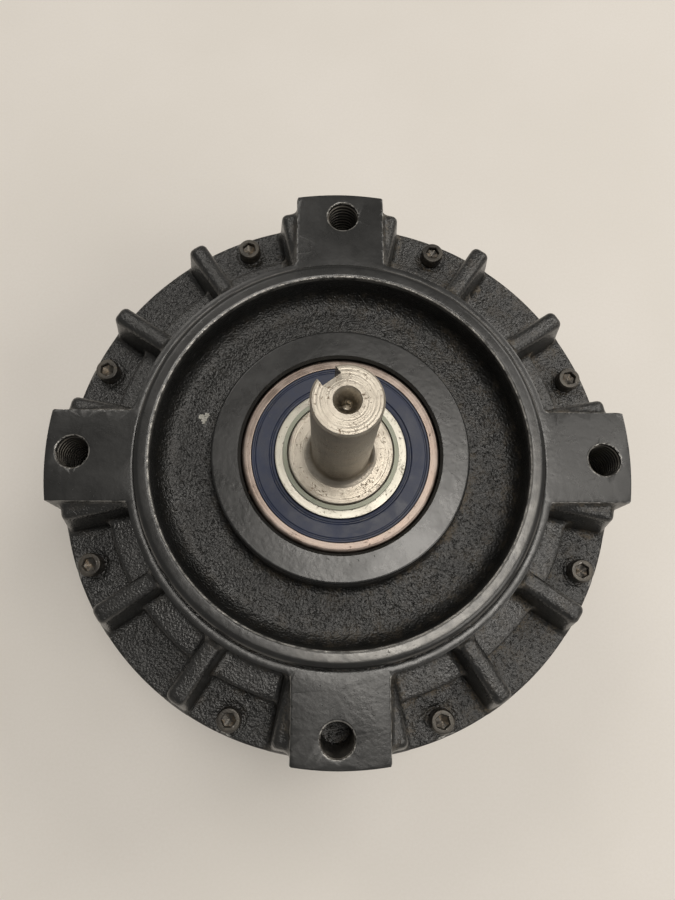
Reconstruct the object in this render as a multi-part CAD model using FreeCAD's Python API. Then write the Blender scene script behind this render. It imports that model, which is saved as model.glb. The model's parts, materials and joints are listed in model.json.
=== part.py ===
import FreeCAD, Part
import math
import os

# Electromagnetic clutch module between a motor and a gearbox, with C-face flanges at both ends.
# Millimetres. Z runs up the shaft, z = 0 is the motor-side face, and the output shaft points up.

# ---- standard interfaces -------------------------------------------------------------------
register_r = 57.15            # centring register, 4.5 in diameter
register_height = 4.1
bolt_circle_r = 74.6125       # four bolts on 5.875 in
shaft_r = 7.9375              # 5/8 in shaft
shaft_reach = 52.3            # shaft tip above the output face
keyway_width = 4.76
keyway_depth = 2.4
output_tap_r = 3.97           # tap drill of 3/8-16
output_tap_depth = 22.0
motor_bolt_r = 5.16           # clearance for 3/8 in bolts

# ---- whole body ----------------------------------------------------------------------------
body_height = 101.6           # motor face to output face
flange_r = 83.0
flange_top = body_height - 20.0
flange_thickness = 9.0
split_z = flange_top - flange_thickness
gasket_thickness = 0.5
spigot_r = 73.4
spigot_inner_r = 68.0
spigot_height = 2.0

# ---- output end bell casting ---------------------------------------------------------------
cast_turn = 0.65              # degrees that the cast pads and ribs sit turned from the bolt holes
hub_r = 35.6
hub_top = body_height + register_height
recess_r = 52.0
recess_floor = body_height - 9.0
web_thickness = 6.0
band_r = 60.0                 # outer edge of the flat band around the register
relief_width = 0.8            # machining relief at the register's foot
relief_depth = 0.6
shelf_r = 69.0
shelf_z = body_height - 13.0
pad_half_width = 13.1
pad_r = 82.0
rib_count = 16
rib_top = body_height - 2.0
rib_top_r = 78.4
rib_foot_r = 82.2
rib_top_half = 2.6
rib_foot_half = 3.8
rib_round = 2.2

# ---- housing screws ------------------------------------------------------------------------
screw_count = 8
first_screw_angle = 22.5
screw_circle_r = 78.1
screw_r = 2.08
screw_hole_r = 2.25
screw_head_r = 3.43
screw_head_height = 4.17
screw_hex = 3.57              # across flats of the socket
screw_grip = 17.0             # shank length under the head

# ---- input housing casting -----------------------------------------------------------------
base_r = 82.5
base_thickness = 10.0
barrel_r = 79.0
cavity_r = 73.5
pocket_half_width = 13.0
pocket_back_r = 66.0
pocket_top = split_z - 14.0
pocket_wall = 4.5
motor_register_r = register_r + 0.05
motor_register_depth = 4.5
web_top = 11.0
input_boss_r = 30.0
input_boss_top = 22.0
barrel_rib_half = 2.2
barrel_rib_r = 81.2
barrel_rib_count = 32

# ---- bearings: bore radius, outer radius, width, ball radius, ball count, land radii --------
output_bearing_size = dict(bore=15.0, outer=27.5, width=13.0, ball=3.9, balls=11, lands=(18.14, 24.6))
input_bearing_size = dict(bore=12.5, outer=23.5, width=12.0, ball=3.55, balls=10, lands=(15.7, 20.4))
race_clearance = 0.08
seal_gap = 0.35               # seal lip to inner ring
seal_thickness = 0.9
seal_recess = 0.6
bearing_chamfer = 0.8
output_bearing_z = body_height + 3.2 - output_bearing_size["width"]
bearing_lip_height = 5.0
bearing_lip_r = 24.8
rear_bearing_z = output_bearing_z - bearing_lip_height - output_bearing_size["width"]
input_bearing_z = 8.0
input_bearing_top = input_bearing_z + input_bearing_size["width"]

# ---- output shaft --------------------------------------------------------------------------
journal_r = output_bearing_size["bore"]
journal_top = body_height + 4.6
shoulder_r = 17.3
shoulder_z = rear_bearing_z - 3.0
hub_seat_r = 11.0
shaft_bottom = 54.0
shaft_keyway_angle = 127.0    # degrees round from +X
shaft_keyway_length = 35.8
snap_ring_thickness = 1.1
bore_ring_thickness = 1.75
bore_ring_bite = 1.2          # depth of the bore ring's groove
centre_mouth_r = 3.0
centre_pilot_r = 1.25
centre_pilot_depth = 7.5
hub_key_half = 2.5
hub_keyway_depth = 2.0
armature_hub_r = 17.0

# ---- rotor, field and armature -------------------------------------------------------------
rotor_face_z = 50.5
rotor_disc_thickness = 6.0
rotor_r = 58.0
rotor_hub_r = 16.0
rotor_bottom = 4.8
motor_bore_r = shaft_r + 0.02
pole_gap = 0.6                # radial air gap between field and rotor
field_inner_r = 31.5
field_outer_r = 52.4
field_wall = 4.9
field_top = 41.0
field_floor = 6.0
friction_radii = (38.5, 45.0)
friction_thickness = 3.0
air_gap = 0.8                 # armature to rotor face when released
armature_radii = (27.0, 57.5)
armature_thickness = 6.0
spring_gap = 0.15
spring_thickness = 0.9
spring_width = 9.0
spring_circle_r = 37.0
spring_count = 3
spring_sweep = 60.0           # from a spring's hub rivet round to its armature rivet
rivet_r = 2.4
rivet_head_r = 4.0
rivet_head_height = 1.3
rivet_clearance_r = 4.8
hub_flange_r = 44.0
hub_flange_thickness = 4.0

# ---- conduit box ---------------------------------------------------------------------------
box_angle = 45.0              # between two motor bolts
box_foot_r = 70.0
box_depth = 22.5
box_half_width = 22.5
box_bottom = 14.5
box_top = 51.5
box_wall = 2.5
cover_thickness = 2.0
wire_z = 20.5
wire_hole_r = 4.2
wire_r = 1.1
wire_half_spacing = 1.6
box_shell = 4.5               # casting around the box's recess in the barrel
box_screw_z = 40.0
box_screw_sides = (-15.0, 15.0)
conduit_r = 7.25              # tap drill of a 3/8 in conduit thread
conduit_x = 83.5
conduit_z = 30.0
conduit_boss_r = 9.0
conduit_boss_height = 3.5
cover_post_inset = 3.6
cover_post_r = 3.4
cover_screw_r = 1.6
terminal_height = (36.0, 44.0)
terminal_half_width = 11.0
terminal_half_spacing = 5.5
terminal_z = 40.0
terminal_screw_r = 1.58

# ---- heights and radii that follow from the above ------------------------------------------
rim_thickness = 12.0
input_top = split_z - gasket_thickness
hub_ring_z = shaft_bottom + 1.0
armature_hub_low = hub_ring_z + snap_ring_thickness
armature_low = rotor_face_z + air_gap
armature_top = armature_low + armature_thickness
spring_low = armature_top + spring_gap
spring_top = spring_low + spring_thickness
disc_low = rotor_face_z - rotor_disc_thickness
rotor_screw_circle_r = 19.6
rotor_flange_r = 23.5
rotor_flange_low = disc_low - 4.5
field_screw_circle_r = 42.0
field_screw_angle = 45.0
armature_rivet_seat = armature_low + 0.3 + rivet_head_height
bobbin_low = web_top + field_floor
bobbin_top = field_top - 2.5
bobbin_wall = 1.3
bobbin_inner_r = field_inner_r + field_wall
bobbin_outer_r = field_outer_r - field_wall - 0.3
winding_outer_r = bobbin_outer_r - 0.6
winding_inner_r = bobbin_inner_r + bobbin_wall
winding_low = bobbin_low + bobbin_wall
winding_top = bobbin_top - bobbin_wall
box_floor = box_foot_r + box_wall
box_front = box_foot_r + box_depth
terminal_face = box_floor + 8.0
terminal_sides = (-terminal_half_spacing, terminal_half_spacing)
wire_end_x = box_floor + 4.0
cover_low = box_front + gasket_thickness
cover_top = cover_low + cover_thickness

Vector = FreeCAD.Vector
origin = Vector(0, 0, 0)
up = Vector(0, 0, 1)
parts = {}


# ---- helpers -------------------------------------------------------------------------------
def rounded_path(points, radii, closed):
    """Wire of straight runs through the points, each corner rounded by its own radius."""
    count = len(points)
    entries, exits, edges = list(points), list(points), []
    for index, radius in enumerate(radii):
        if not radius:
            continue
        here = points[index]
        back = (points[index - 1] - here).normalize()
        ahead = (points[(index + 1) % count] - here).normalize()
        half = back.getAngle(ahead) / 2
        bisector = (back + ahead).normalize()
        entries[index] = here + back * (radius / math.tan(half))
        exits[index] = here + ahead * (radius / math.tan(half))
        middle = here + bisector * (radius / math.sin(half) - radius)
        edges.append((index, Part.Arc(entries[index], middle, exits[index]).toShape()))
    for index in range(count if closed else count - 1):
        start, end = exits[index], entries[(index + 1) % count]
        if start.distanceToPoint(end) > 1e-6:
            edges.append((index + 0.5, Part.LineSegment(start, end).toShape()))
    return Part.Wire([edge for place, edge in sorted(edges, key=lambda pair: pair[0])])


def rounded_wire(corners):
    """Closed wire in the XZ plane. A corner is (x, z) or (x, z, rounding radius)."""
    points = [Vector(corner[0], 0, corner[1]) for corner in corners]
    return rounded_path(points, [corner[2] if len(corner) > 2 else 0 for corner in corners], True)


def lathe(corners):
    """Solid of revolution about Z from a section whose corners are (radius, z) or (radius, z, rounding)."""
    solid = Part.Solid(Part.Face(rounded_wire(corners)).revolve(origin, up, 360).Shells[0])
    if solid.Volume < 0:
        solid.reverse()
    return solid


def disc(radius, low, high, centre=(0, 0)):
    return Part.makeCylinder(radius, high - low, Vector(centre[0], centre[1], low))


def tube(inner, outer, low, high):
    return disc(outer, low, high).cut(disc(inner, low - 1, high + 1))


def block(x, y, z):
    """Box from three (low, high) pairs."""
    return Part.makeBox(x[1] - x[0], y[1] - y[0], z[1] - z[0], Vector(x[0], y[0], z[0]))


def along_x(radius, low, high, side, z):
    """Round bar along X at y = side."""
    return Part.makeCylinder(radius, high - low, Vector(low, side, z), Vector(1, 0, 0))


def turned(shape, degrees):
    copy = shape.copy()
    copy.rotate(origin, up, degrees)
    return copy


def around(shape, count, start=0.0):
    """Copies of a shape, evenly spaced about Z from the start angle."""
    return [turned(shape, start + index * 360.0 / count) for index in range(count)]


def cut_all(shape, tools):
    return shape.cut(Part.makeCompound(tools))


def hexagon(across_flats, low, high, centre=(0, 0)):
    corner_r = across_flats / math.sqrt(3)
    corners = [Vector(centre[0] + corner_r * math.cos(math.radians(60 * k)),
                      centre[1] + corner_r * math.sin(math.radians(60 * k)), low) for k in range(7)]
    return Part.Face(Part.makePolygon(corners)).extrude(Vector(0, 0, high - low))


def slot_ring(inner, outer, low, high, count, bridge_degrees, start=0.0):
    """Curved slots between two radii, with bridges left between them."""
    sweep = 360.0 / count - bridge_degrees
    face = tube(inner, outer, low, high)
    wedge = Part.makeCylinder(outer + 1, high - low, Vector(0, 0, low), up, sweep)
    return around(face.common(wedge), count, start)


def split_ring(inner, outer, low, high, gap_degrees, start=0.0):
    """Retaining ring with a gap."""
    wedge = Part.makeCylinder(outer + 1, high - low, Vector(0, 0, low), up, gap_degrees)
    return tube(inner, outer, low, high).cut(turned(wedge, start))


# ---- castings ------------------------------------------------------------------------------
def front_rib():
    """Drafted rib between the band and the flange, rounded along its ridge and down its end."""
    start_r = register_r - 1.0

    def rectangle(half, end_r, z):
        return Part.makePolygon([Vector(start_r, -half, z), Vector(end_r, -half, z),
                                 Vector(end_r, half, z), Vector(start_r, half, z),
                                 Vector(start_r, -half, z)])

    rib = Part.makeLoft([rectangle(rib_foot_half, rib_foot_r, flange_top),
                         rectangle(rib_top_half, rib_top_r, rib_top)], True, True)
    rounded = [edge for edge in rib.Edges
               if edge.BoundBox.XMax > rib_top_r - 1 and edge.BoundBox.ZMax > rib_top - 1]
    return rib.makeFillet(rib_round, rounded)


def output_housing():
    """End bell: register, recess, bearing hub, ribs and tapped pads on top, a cavity below."""
    low = split_z
    roof = recess_floor - web_thickness
    hub_bottom = rear_bearing_z - 1.0
    bearing_r = output_bearing_size["outer"]
    lip_top = output_bearing_z
    lip_bottom = lip_top - bearing_lip_height
    casting = lathe([
        (bearing_r, hub_top - 0.7), (bearing_r + 0.7, hub_top), (hub_r, hub_top, 0.6),
        (hub_r + 0.5, recess_floor, 2.5), (recess_r - 0.7, recess_floor, 5.0),
        (recess_r, hub_top, 1.2), (register_r - 0.4, hub_top), (register_r, hub_top - 0.4),
        (register_r, body_height - relief_depth), (register_r + relief_width, body_height - relief_depth),
        (register_r + relief_width, body_height), (band_r, body_height, 0.4),
        (band_r + 1.0, shelf_z, 2.0), (shelf_r, shelf_z, 1.0), (shelf_r + 0.6, flange_top, 0.8),
        (flange_r, flange_top, 0.5), (flange_r, low), (spigot_r, low), (spigot_r, low - spigot_height),
        (spigot_inner_r, low - spigot_height), (spigot_inner_r, low + 2.0, 1.5),
        (band_r - 5.5, low + 2.0, 3.0),
        (band_r - 6.5, roof, 4.0), (hub_r - 1.6, roof, 2.5), (hub_r - 2.1, hub_bottom),
        (bearing_r, hub_bottom), (bearing_r, lip_bottom), (bearing_lip_r, lip_bottom),
        (bearing_lip_r, lip_top), (bearing_r, lip_top)])
    ribs = around(front_rib(), rib_count, cast_turn + 180.0 / rib_count)
    pad = block((register_r + relief_width, pad_r + 5), (-pad_half_width, pad_half_width),
                (flange_top - 1, body_height)).common(disc(pad_r, low, body_height))
    pad = pad.cut(disc(register_r + relief_width, low, body_height + 1))
    casting = casting.fuse(ribs + around(pad, 4, cast_turn))
    tap = disc(output_tap_r, body_height - output_tap_depth, body_height + 1, (bolt_circle_r, 0))
    countersink = Part.makeCone(output_tap_r, output_tap_r + 1.8, 1.8,
                                Vector(bolt_circle_r, 0, body_height - 0.9))
    screw_hole = disc(screw_hole_r, low - 1, flange_top + 1, (screw_circle_r, 0))
    return cut_all(casting, around(tap, 4) + around(countersink, 4)
                   + around(screw_hole, screw_count, first_screw_angle))


def pocket_tool(low, back_r, half_width, top, rounding):
    """Recess cut into the barrel from outside, on +X, with a rounded back."""
    pocket = block((back_r, flange_r + 5), (-half_width, half_width), (low, top))
    return pocket.makeFillet(rounding, [edge for edge in pocket.Edges if edge.BoundBox.XMax < back_r + 1])


def barrel_ribs():
    """Low upright ribs round the barrel, left out at the bolt pockets and the conduit box."""
    bar = block((barrel_r - 1, barrel_rib_r), (-barrel_rib_half, barrel_rib_half),
                (base_thickness - 1, input_top - rim_thickness + 1))
    bar = bar.makeFillet(1.2, [edge for edge in bar.Edges
                               if edge.BoundBox.XMin > barrel_rib_r - 0.1 and edge.BoundBox.ZLength > 1])
    pitch = 360.0 / barrel_rib_count
    angles = [pitch * (index + 0.5) for index in range(barrel_rib_count)]
    clear_of_pockets = [angle for angle in angles if abs((angle + 45) % 90 - 45) > 12]
    return [turned(bar, angle) for angle in clear_of_pockets if abs(angle - box_angle) > 20]


def input_housing():
    """Barrel with the motor register, bearing boss and coil space; recessed for bolts and conduit box."""
    seat_r = input_bearing_size["outer"]
    lip_r = seat_r - 2.5
    rim_low = input_top - rim_thickness
    ring_low = input_bearing_z - bore_ring_thickness
    casting = lathe([
        (motor_register_r + 0.5, 0), (base_r, 0, 0.8), (base_r, base_thickness, 0.8),
        (barrel_r, base_thickness + 2.0), (barrel_r, rim_low - 3.0), (flange_r, rim_low, 0.8),
        (flange_r, input_top), (input_boss_r, input_top), (input_boss_r, input_boss_top),
        (lip_r, input_boss_top), (lip_r, input_bearing_top), (seat_r, input_bearing_top),
        (seat_r, motor_register_depth), (motor_register_r, motor_register_depth), (motor_register_r, 0.5)])
    cavity = lathe([(input_boss_r - 1, input_boss_top), (input_boss_r, input_boss_top),
                    (input_boss_r + 0.5, web_top, 0.8), (cavity_r, web_top, 4.0), (cavity_r, input_top + 1),
                    (input_boss_r - 1, input_top + 1)])
    pocket_shell = block((pocket_back_r - pocket_wall, barrel_r),
                         (-pocket_half_width - pocket_wall, pocket_half_width + pocket_wall),
                         (web_top - 1, pocket_top + pocket_wall))
    box_half = box_half_width + 0.5
    box_block = block((box_foot_r - box_shell, barrel_r), (-box_half - box_shell, box_half + box_shell),
                      (web_top - 1, box_top + box_shell))
    casting = casting.cut(cut_all(cavity, around(pocket_shell, 4) + [turned(box_block, box_angle)]))
    casting = casting.fuse(barrel_ribs())
    tools = around(pocket_tool(base_thickness, pocket_back_r, pocket_half_width, pocket_top, 3.0), 4)
    tools += around(disc(motor_bolt_r, -1, base_thickness + 1, (bolt_circle_r, 0)), 4)
    screw_hole = disc(screw_r, rim_low + 2, input_top + 1, (screw_circle_r, 0))
    tools += around(screw_hole, screw_count, first_screw_angle)
    tools += around(field_screw(0.0), 4, field_screw_angle)
    tools.append(tube(seat_r - 0.1, seat_r + bore_ring_bite, ring_low, input_bearing_z))
    beside_box = [pocket_tool(box_bottom - 0.5, box_foot_r, box_half, box_top + 0.5, 0.4),
                  along_x(wire_hole_r, box_foot_r - 10, box_foot_r + 1, 0, wire_z),
                  Part.makeCylinder(conduit_boss_r + 1.0, conduit_boss_height + 6,
                                    Vector(conduit_x, box_half_width - 1, conduit_z), Vector(0, 1, 0))]
    beside_box += [along_x(screw_r, box_foot_r - 4.2, box_foot_r + 1, side, box_screw_z)
                   for side in box_screw_sides]
    return cut_all(casting, tools + [turned(tool, box_angle) for tool in beside_box])


# ---- fasteners -----------------------------------------------------------------------------
def field_screw(recess=2.0):
    """Flat-head screw through the housing web into the field shell, head down."""
    head = Part.makeCone(4.2, screw_r, 2.2, Vector(field_screw_circle_r, 0, motor_register_depth))
    shank = disc(screw_r, motor_register_depth, web_top + 5.0, (field_screw_circle_r, 0))
    screw = head.fuse(shank)
    if recess:
        screw = screw.cut(hexagon(2.4, motor_register_depth - 1, motor_register_depth + recess,
                                  (field_screw_circle_r, 0)))
    return screw


def socket_screw():
    head = disc(screw_head_r, flange_top, flange_top + screw_head_height, (screw_circle_r, 0))
    head = head.makeChamfer(0.35, [edge for edge in head.Edges
                                   if edge.BoundBox.ZMin > flange_top + screw_head_height - 0.1])
    shank = disc(screw_r, flange_top - screw_grip, flange_top, (screw_circle_r, 0))
    socket_depth = 2.2
    socket = hexagon(screw_hex, flange_top + screw_head_height - socket_depth,
                     flange_top + screw_head_height + 1, (screw_circle_r, 0))
    return head.fuse(shank).cut(socket)


def rivet(low, high):
    """Rivet on the spring circle that grips from low to high, with a flat head at each end."""
    shank = disc(rivet_r, low, high, (spring_circle_r, 0))
    heads = [disc(rivet_head_r, z, z + rivet_head_height, (spring_circle_r, 0))
             for z in (low - rivet_head_height, high)]
    return shank.fuse(heads)


# ---- bearings ------------------------------------------------------------------------------
def add_bearing(name, size, low):
    """Sealed ball bearing whose lower face is at low: two rings, balls, cage and two seals."""
    high = low + size["width"]
    middle = (low + high) / 2
    inner_land, outer_land = size["lands"]
    pitch_r = (size["bore"] + size["outer"]) / 2
    groove = Part.makeTorus(pitch_r, size["ball"] + race_clearance, Vector(0, 0, middle), up)
    chamfer = bearing_chamfer
    outer_ring = lathe([(outer_land, low), (size["outer"] - chamfer, low), (size["outer"], low + chamfer),
                        (size["outer"], high - chamfer), (size["outer"] - chamfer, high),
                        (outer_land, high)])
    inner_ring = lathe([(size["bore"] + chamfer, low), (inner_land, low), (inner_land, high),
                        (size["bore"] + chamfer, high), (size["bore"], high - chamfer),
                        (size["bore"], low + chamfer)])
    seals = [tube(inner_land + seal_gap, outer_land, z, z + seal_thickness)
             for z in (low + seal_recess, high - seal_recess - seal_thickness)]
    balls = around(Part.makeSphere(size["ball"], Vector(pitch_r, 0, middle)), size["balls"])
    pockets = around(along_x(size["ball"] + 0.3, pitch_r - 3, pitch_r + 3, 0, middle), size["balls"])
    cage_reach = size["ball"] + 0.9
    cage = tube(pitch_r - 0.9, pitch_r + 0.9, middle - cage_reach, middle + cage_reach)
    parts[name + "_outer_ring"] = outer_ring.cut(groove)
    parts[name + "_inner_ring"] = inner_ring.cut(groove)
    parts[name + "_seals"] = Part.makeCompound(seals)
    parts[name + "_balls"] = Part.makeCompound(balls)
    parts[name + "_cage"] = cut_all(cage, pockets)


# ---- output shaft and armature -------------------------------------------------------------
def output_shaft():
    tip = body_height + shaft_reach
    chamfer = 0.9
    groove_low = output_bearing_z + output_bearing_size["width"]
    shaft = lathe([
        (0, shaft_bottom), (hub_seat_r - 0.5, shaft_bottom), (hub_seat_r, shaft_bottom + 0.5),
        (hub_seat_r, shoulder_z), (shoulder_r, shoulder_z), (shoulder_r, rear_bearing_z),
        (journal_r, rear_bearing_z), (journal_r, journal_top - 0.5), (journal_r - 0.5, journal_top),
        (shaft_r, journal_top, 2.5), (shaft_r, tip - chamfer), (shaft_r - chamfer, tip), (0, tip)])
    ring_grooves = [tube(journal_r - 0.7, journal_r + 1, groove_low, groove_low + snap_ring_thickness),
                    tube(hub_seat_r - 0.6, hub_seat_r + 1, hub_ring_z, hub_ring_z + snap_ring_thickness)]
    half = keyway_width / 2
    floor_r = shaft_r - keyway_depth
    run_out = tip - shaft_keyway_length + half
    slot = block((floor_r, shaft_r + 1), (-half, half), (run_out, tip + 1))
    slot_end = along_x(half, floor_r, shaft_r + 1, 0, run_out)
    centre_depth = centre_mouth_r / math.tan(math.radians(30))
    centre = Part.makeCone(0, centre_mouth_r, centre_depth, Vector(0, 0, tip - centre_depth))
    pilot = disc(centre_pilot_r, tip - centre_pilot_depth, tip)
    keyway = [turned(slot, shaft_keyway_angle), turned(slot_end, shaft_keyway_angle)]
    return cut_all(shaft, ring_grooves + keyway + [centre, pilot, hub_key()])


def hub_key():
    """Square key half in the shaft and half in the armature hub."""
    return block((hub_seat_r - 3.0, hub_seat_r + hub_keyway_depth), (-hub_key_half, hub_key_half),
                 (armature_hub_low + 1.0, shoulder_z - 1.0))


def armature_hub():
    """Hub keyed to the shaft, its flange drilled for the rivets of both ends of the springs."""
    flange = disc(hub_flange_r, spring_top, spring_top + hub_flange_thickness)
    hub = disc(armature_hub_r, armature_hub_low, shoulder_z).fuse(flange)
    bore = disc(hub_seat_r, armature_hub_low - 1, shoulder_z + 1)
    keyway = block((0, hub_seat_r + hub_keyway_depth), (-hub_key_half, hub_key_half),
                   (armature_hub_low - 1, shoulder_z + 1))
    rivet_hole = disc(rivet_r, spring_top - 1, spring_top + 10, (spring_circle_r, 0))
    clearance = disc(rivet_clearance_r, spring_top - 1, spring_top + 10, (spring_circle_r, 0))
    return cut_all(hub, [bore, keyway] + around(rivet_hole, spring_count)
                   + around(clearance, spring_count, spring_sweep))


def armature_plate():
    """Steel ring that the magnet pulls down, slotted like the rotor and pierced for the rivets."""
    plate = lathe([(armature_radii[0], armature_low), (armature_radii[1], armature_low),
                   (armature_radii[1], armature_top - 0.6), (armature_radii[1] - 0.6, armature_top),
                   (armature_radii[0], armature_top)])
    rivet_hole = disc(rivet_r, armature_low - 1, armature_top + 1, (spring_circle_r, 0))
    head_hole = disc(rivet_head_r, armature_low - 1, armature_rivet_seat, (spring_circle_r, 0))
    clearance = disc(rivet_clearance_r, armature_low - 1, armature_top + 1, (spring_circle_r, 0))
    slots = slot_ring(46.0, 48.5, armature_low - 1, armature_top + 1, 6, 12.0)
    holes = around(rivet_hole, spring_count, spring_sweep) + around(head_hole, spring_count, spring_sweep)
    return cut_all(plate, holes + around(clearance, spring_count) + slots)


def release_spring():
    """Flat strap from a hub rivet to the armature rivet a sixth of a turn on."""
    half = spring_width / 2
    strap = block((0, spring_circle_r), (-half, half), (spring_low, spring_top))
    ends = [disc(half, spring_low, spring_top, (x, 0)) for x in (0, spring_circle_r)]
    strap = strap.fuse(ends)
    strap.rotate(origin, up, 2 * spring_sweep)
    strap.translate(Vector(spring_circle_r, 0, 0))
    hub_hole = disc(rivet_r, spring_low - 1, spring_top + 1, (spring_circle_r, 0))
    armature_hole = disc(rivet_r + 0.3, spring_low - 1, spring_top + 1, (spring_circle_r, 0))
    return cut_all(strap, [hub_hole, turned(armature_hole, spring_sweep)])


# ---- rotor and field -----------------------------------------------------------------------
def rotor_hub():
    """Hollow input shaft: bearing journal below, flange for the disc above, keyway all through."""
    seat_r = input_bearing_size["bore"]
    hub = lathe([
        (motor_bore_r + 0.6, rotor_bottom), (seat_r - 0.5, rotor_bottom), (seat_r, rotor_bottom + 0.5),
        (seat_r, input_bearing_top), (rotor_hub_r, input_bearing_top), (rotor_hub_r, rotor_flange_low),
        (rotor_flange_r, rotor_flange_low), (rotor_flange_r, disc_low), (rotor_hub_r, disc_low),
        (rotor_hub_r, rotor_face_z), (motor_bore_r, rotor_face_z), (motor_bore_r, rotor_bottom + 0.6)])
    keyway = block((0, motor_bore_r + keyway_depth), (-keyway_width / 2, keyway_width / 2),
                   (rotor_bottom - 1, rotor_face_z + 1))
    groove = tube(seat_r - 0.6, seat_r + 1, input_bearing_z - snap_ring_thickness, input_bearing_z)
    return cut_all(hub, [keyway, groove] + around(rotor_screw(False), 6))


def rotor_screw(socket=True):
    """Flat-head screw from the friction face through the disc into the hub flange."""
    screw = Part.makeCone(1.5, 3.0, 1.6, Vector(rotor_screw_circle_r, 0, rotor_face_z - 1.9))
    screw = screw.fuse(disc(1.5, rotor_flange_low, rotor_face_z - 1.9, (rotor_screw_circle_r, 0)))
    if not socket:
        return screw.fuse(disc(3.0, rotor_face_z - 0.3, rotor_face_z + 1, (rotor_screw_circle_r, 0)))
    return screw.cut(hexagon(2.0, rotor_face_z - 1.6, rotor_face_z, (rotor_screw_circle_r, 0)))


def rotor_disc():
    """Disc with two pole rims that reach down inside and outside the field, slotted between them."""
    inner_pole_r = field_inner_r - pole_gap
    outer_pole_r = field_outer_r + pole_gap
    plate = lathe([(rotor_hub_r, disc_low), (24.5, disc_low), (24.5, input_boss_top + 2.5),
                   (inner_pole_r, input_boss_top + 2.5), (inner_pole_r, disc_low), (outer_pole_r, disc_low),
                   (outer_pole_r, 26.0), (rotor_r, 26.0), (rotor_r, rotor_face_z - 0.6),
                   (rotor_r - 0.6, rotor_face_z), (rotor_hub_r, rotor_face_z)])
    groove = tube(friction_radii[0], friction_radii[1], rotor_face_z - friction_thickness, rotor_face_z + 1)
    slots = slot_ring(34.0, 36.0, disc_low - 1, rotor_face_z + 1, 6, 12.0)
    slots += slot_ring(47.5, 49.5, disc_low - 1, rotor_face_z + 1, 6, 10.0, 30.0)
    return cut_all(plate, [groove] + slots + around(rotor_screw(False), 6))


def field_shell():
    """Stationary steel channel that holds the coil, open towards the rotor."""
    channel = (field_inner_r + field_wall, field_outer_r - field_wall)
    shell = lathe([(field_inner_r, web_top), (field_outer_r, web_top), (field_outer_r, field_top),
                   (channel[1], field_top), (channel[1], bobbin_low), (channel[0], bobbin_low),
                   (channel[0], field_top), (field_inner_r, field_top)])
    wire_hole = Part.makeCylinder(wire_hole_r, 20, Vector(field_outer_r - 10, 0, wire_z), Vector(1, 0, 0))
    return cut_all(shell, around(field_screw(0.0), 4, field_screw_angle) + [turned(wire_hole, box_angle)])


def coil_bobbin():
    return lathe([
        (bobbin_inner_r, bobbin_low), (bobbin_outer_r, bobbin_low), (bobbin_outer_r, winding_low),
        (winding_inner_r, winding_low), (winding_inner_r, winding_top), (bobbin_outer_r, winding_top),
        (bobbin_outer_r, bobbin_top), (bobbin_inner_r, bobbin_top)])


def coil_winding():
    return tube(winding_inner_r, winding_outer_r, winding_low, winding_top)


# ---- conduit box, built on +X and turned to its place --------------------------------------
def box_slab(low, high, inset=0.0):
    """Slab across X with the conduit box's outline, its four corners rounded."""
    half = box_half_width - inset
    slab = block((low, high), (-half, half), (box_bottom + inset, box_top - inset))
    corners = [edge for edge in slab.Edges if edge.BoundBox.XLength > (high - low) * 0.9]
    return slab.makeFillet(max(3.0 - inset, 0.8), corners)


def cover_screw_places():
    """(side, height) of the four cover screws."""
    reach = box_half_width - cover_post_inset
    heights = (box_bottom + cover_post_inset, box_top - cover_post_inset)
    return [(side, z) for side in (-reach, reach) for z in heights]


def cover_bars(radius, low, high):
    """Bars along X at the four cover screws."""
    return [along_x(radius, low, high, side, z) for side, z in cover_screw_places()]


def conduit_box():
    """Open box with screw posts in its corners and a threaded boss for the conduit on one side."""
    hollow = box_slab(box_floor, box_front + 1, box_wall)
    hollow = cut_all(hollow, cover_bars(cover_post_r, box_foot_r, box_front))
    box = box_slab(box_foot_r, box_front).cut(hollow)
    boss_start = box_half_width - box_wall
    boss = Part.makeCylinder(conduit_boss_r, box_wall + conduit_boss_height,
                             Vector(conduit_x, boss_start, conduit_z), Vector(0, 1, 0))
    mouth = Part.makeCylinder(conduit_r, box_wall + conduit_boss_height + 2,
                              Vector(conduit_x, boss_start - 1, conduit_z), Vector(0, 1, 0))
    holes = cover_bars(cover_screw_r, box_front - 8, box_front + 1)
    holes += [along_x(screw_r, box_foot_r - 1, box_front, side, box_screw_z) for side in box_screw_sides]
    holes += [along_x(wire_hole_r, box_foot_r - 1, box_floor + 1, 0, wire_z), mouth]
    return cut_all(box.fuse(boss), holes)


def conduit_gasket():
    outline = box_slab(box_front, cover_low).cut(box_slab(box_front - 1, cover_low + 1, box_wall))
    ears = cover_bars(cover_post_r, box_front, cover_low)
    return cut_all(outline.fuse(ears), cover_bars(cover_screw_r, box_front - 1, cover_low + 1))


def conduit_cover():
    cover = box_slab(cover_low, cover_top)
    rim = [edge for edge in cover.Edges if edge.BoundBox.XMin > cover_top - 0.01]
    cover = cover.makeChamfer(0.5, rim)
    return cut_all(cover, cover_bars(cover_screw_r, cover_low - 1, cover_top + 1))


def pan_screw(head_low, radius, head_r, head_height, grip, side, z):
    """Pan-head screw pointing inwards, its head outside head_low."""
    head = along_x(head_r, head_low, head_low + head_height, side, z)
    head = head.makeFillet(head_height * 0.45, [edge for edge in head.Edges
                                                if edge.BoundBox.XMin > head_low + head_height - 0.01])
    slot = block((head_low + head_height * 0.5, head_low + head_height + 1), (side - 0.4, side + 0.4),
                 (z - head_r, z + head_r))
    return head.fuse(along_x(radius, head_low - grip, head_low, side, z)).cut(slot)


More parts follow.
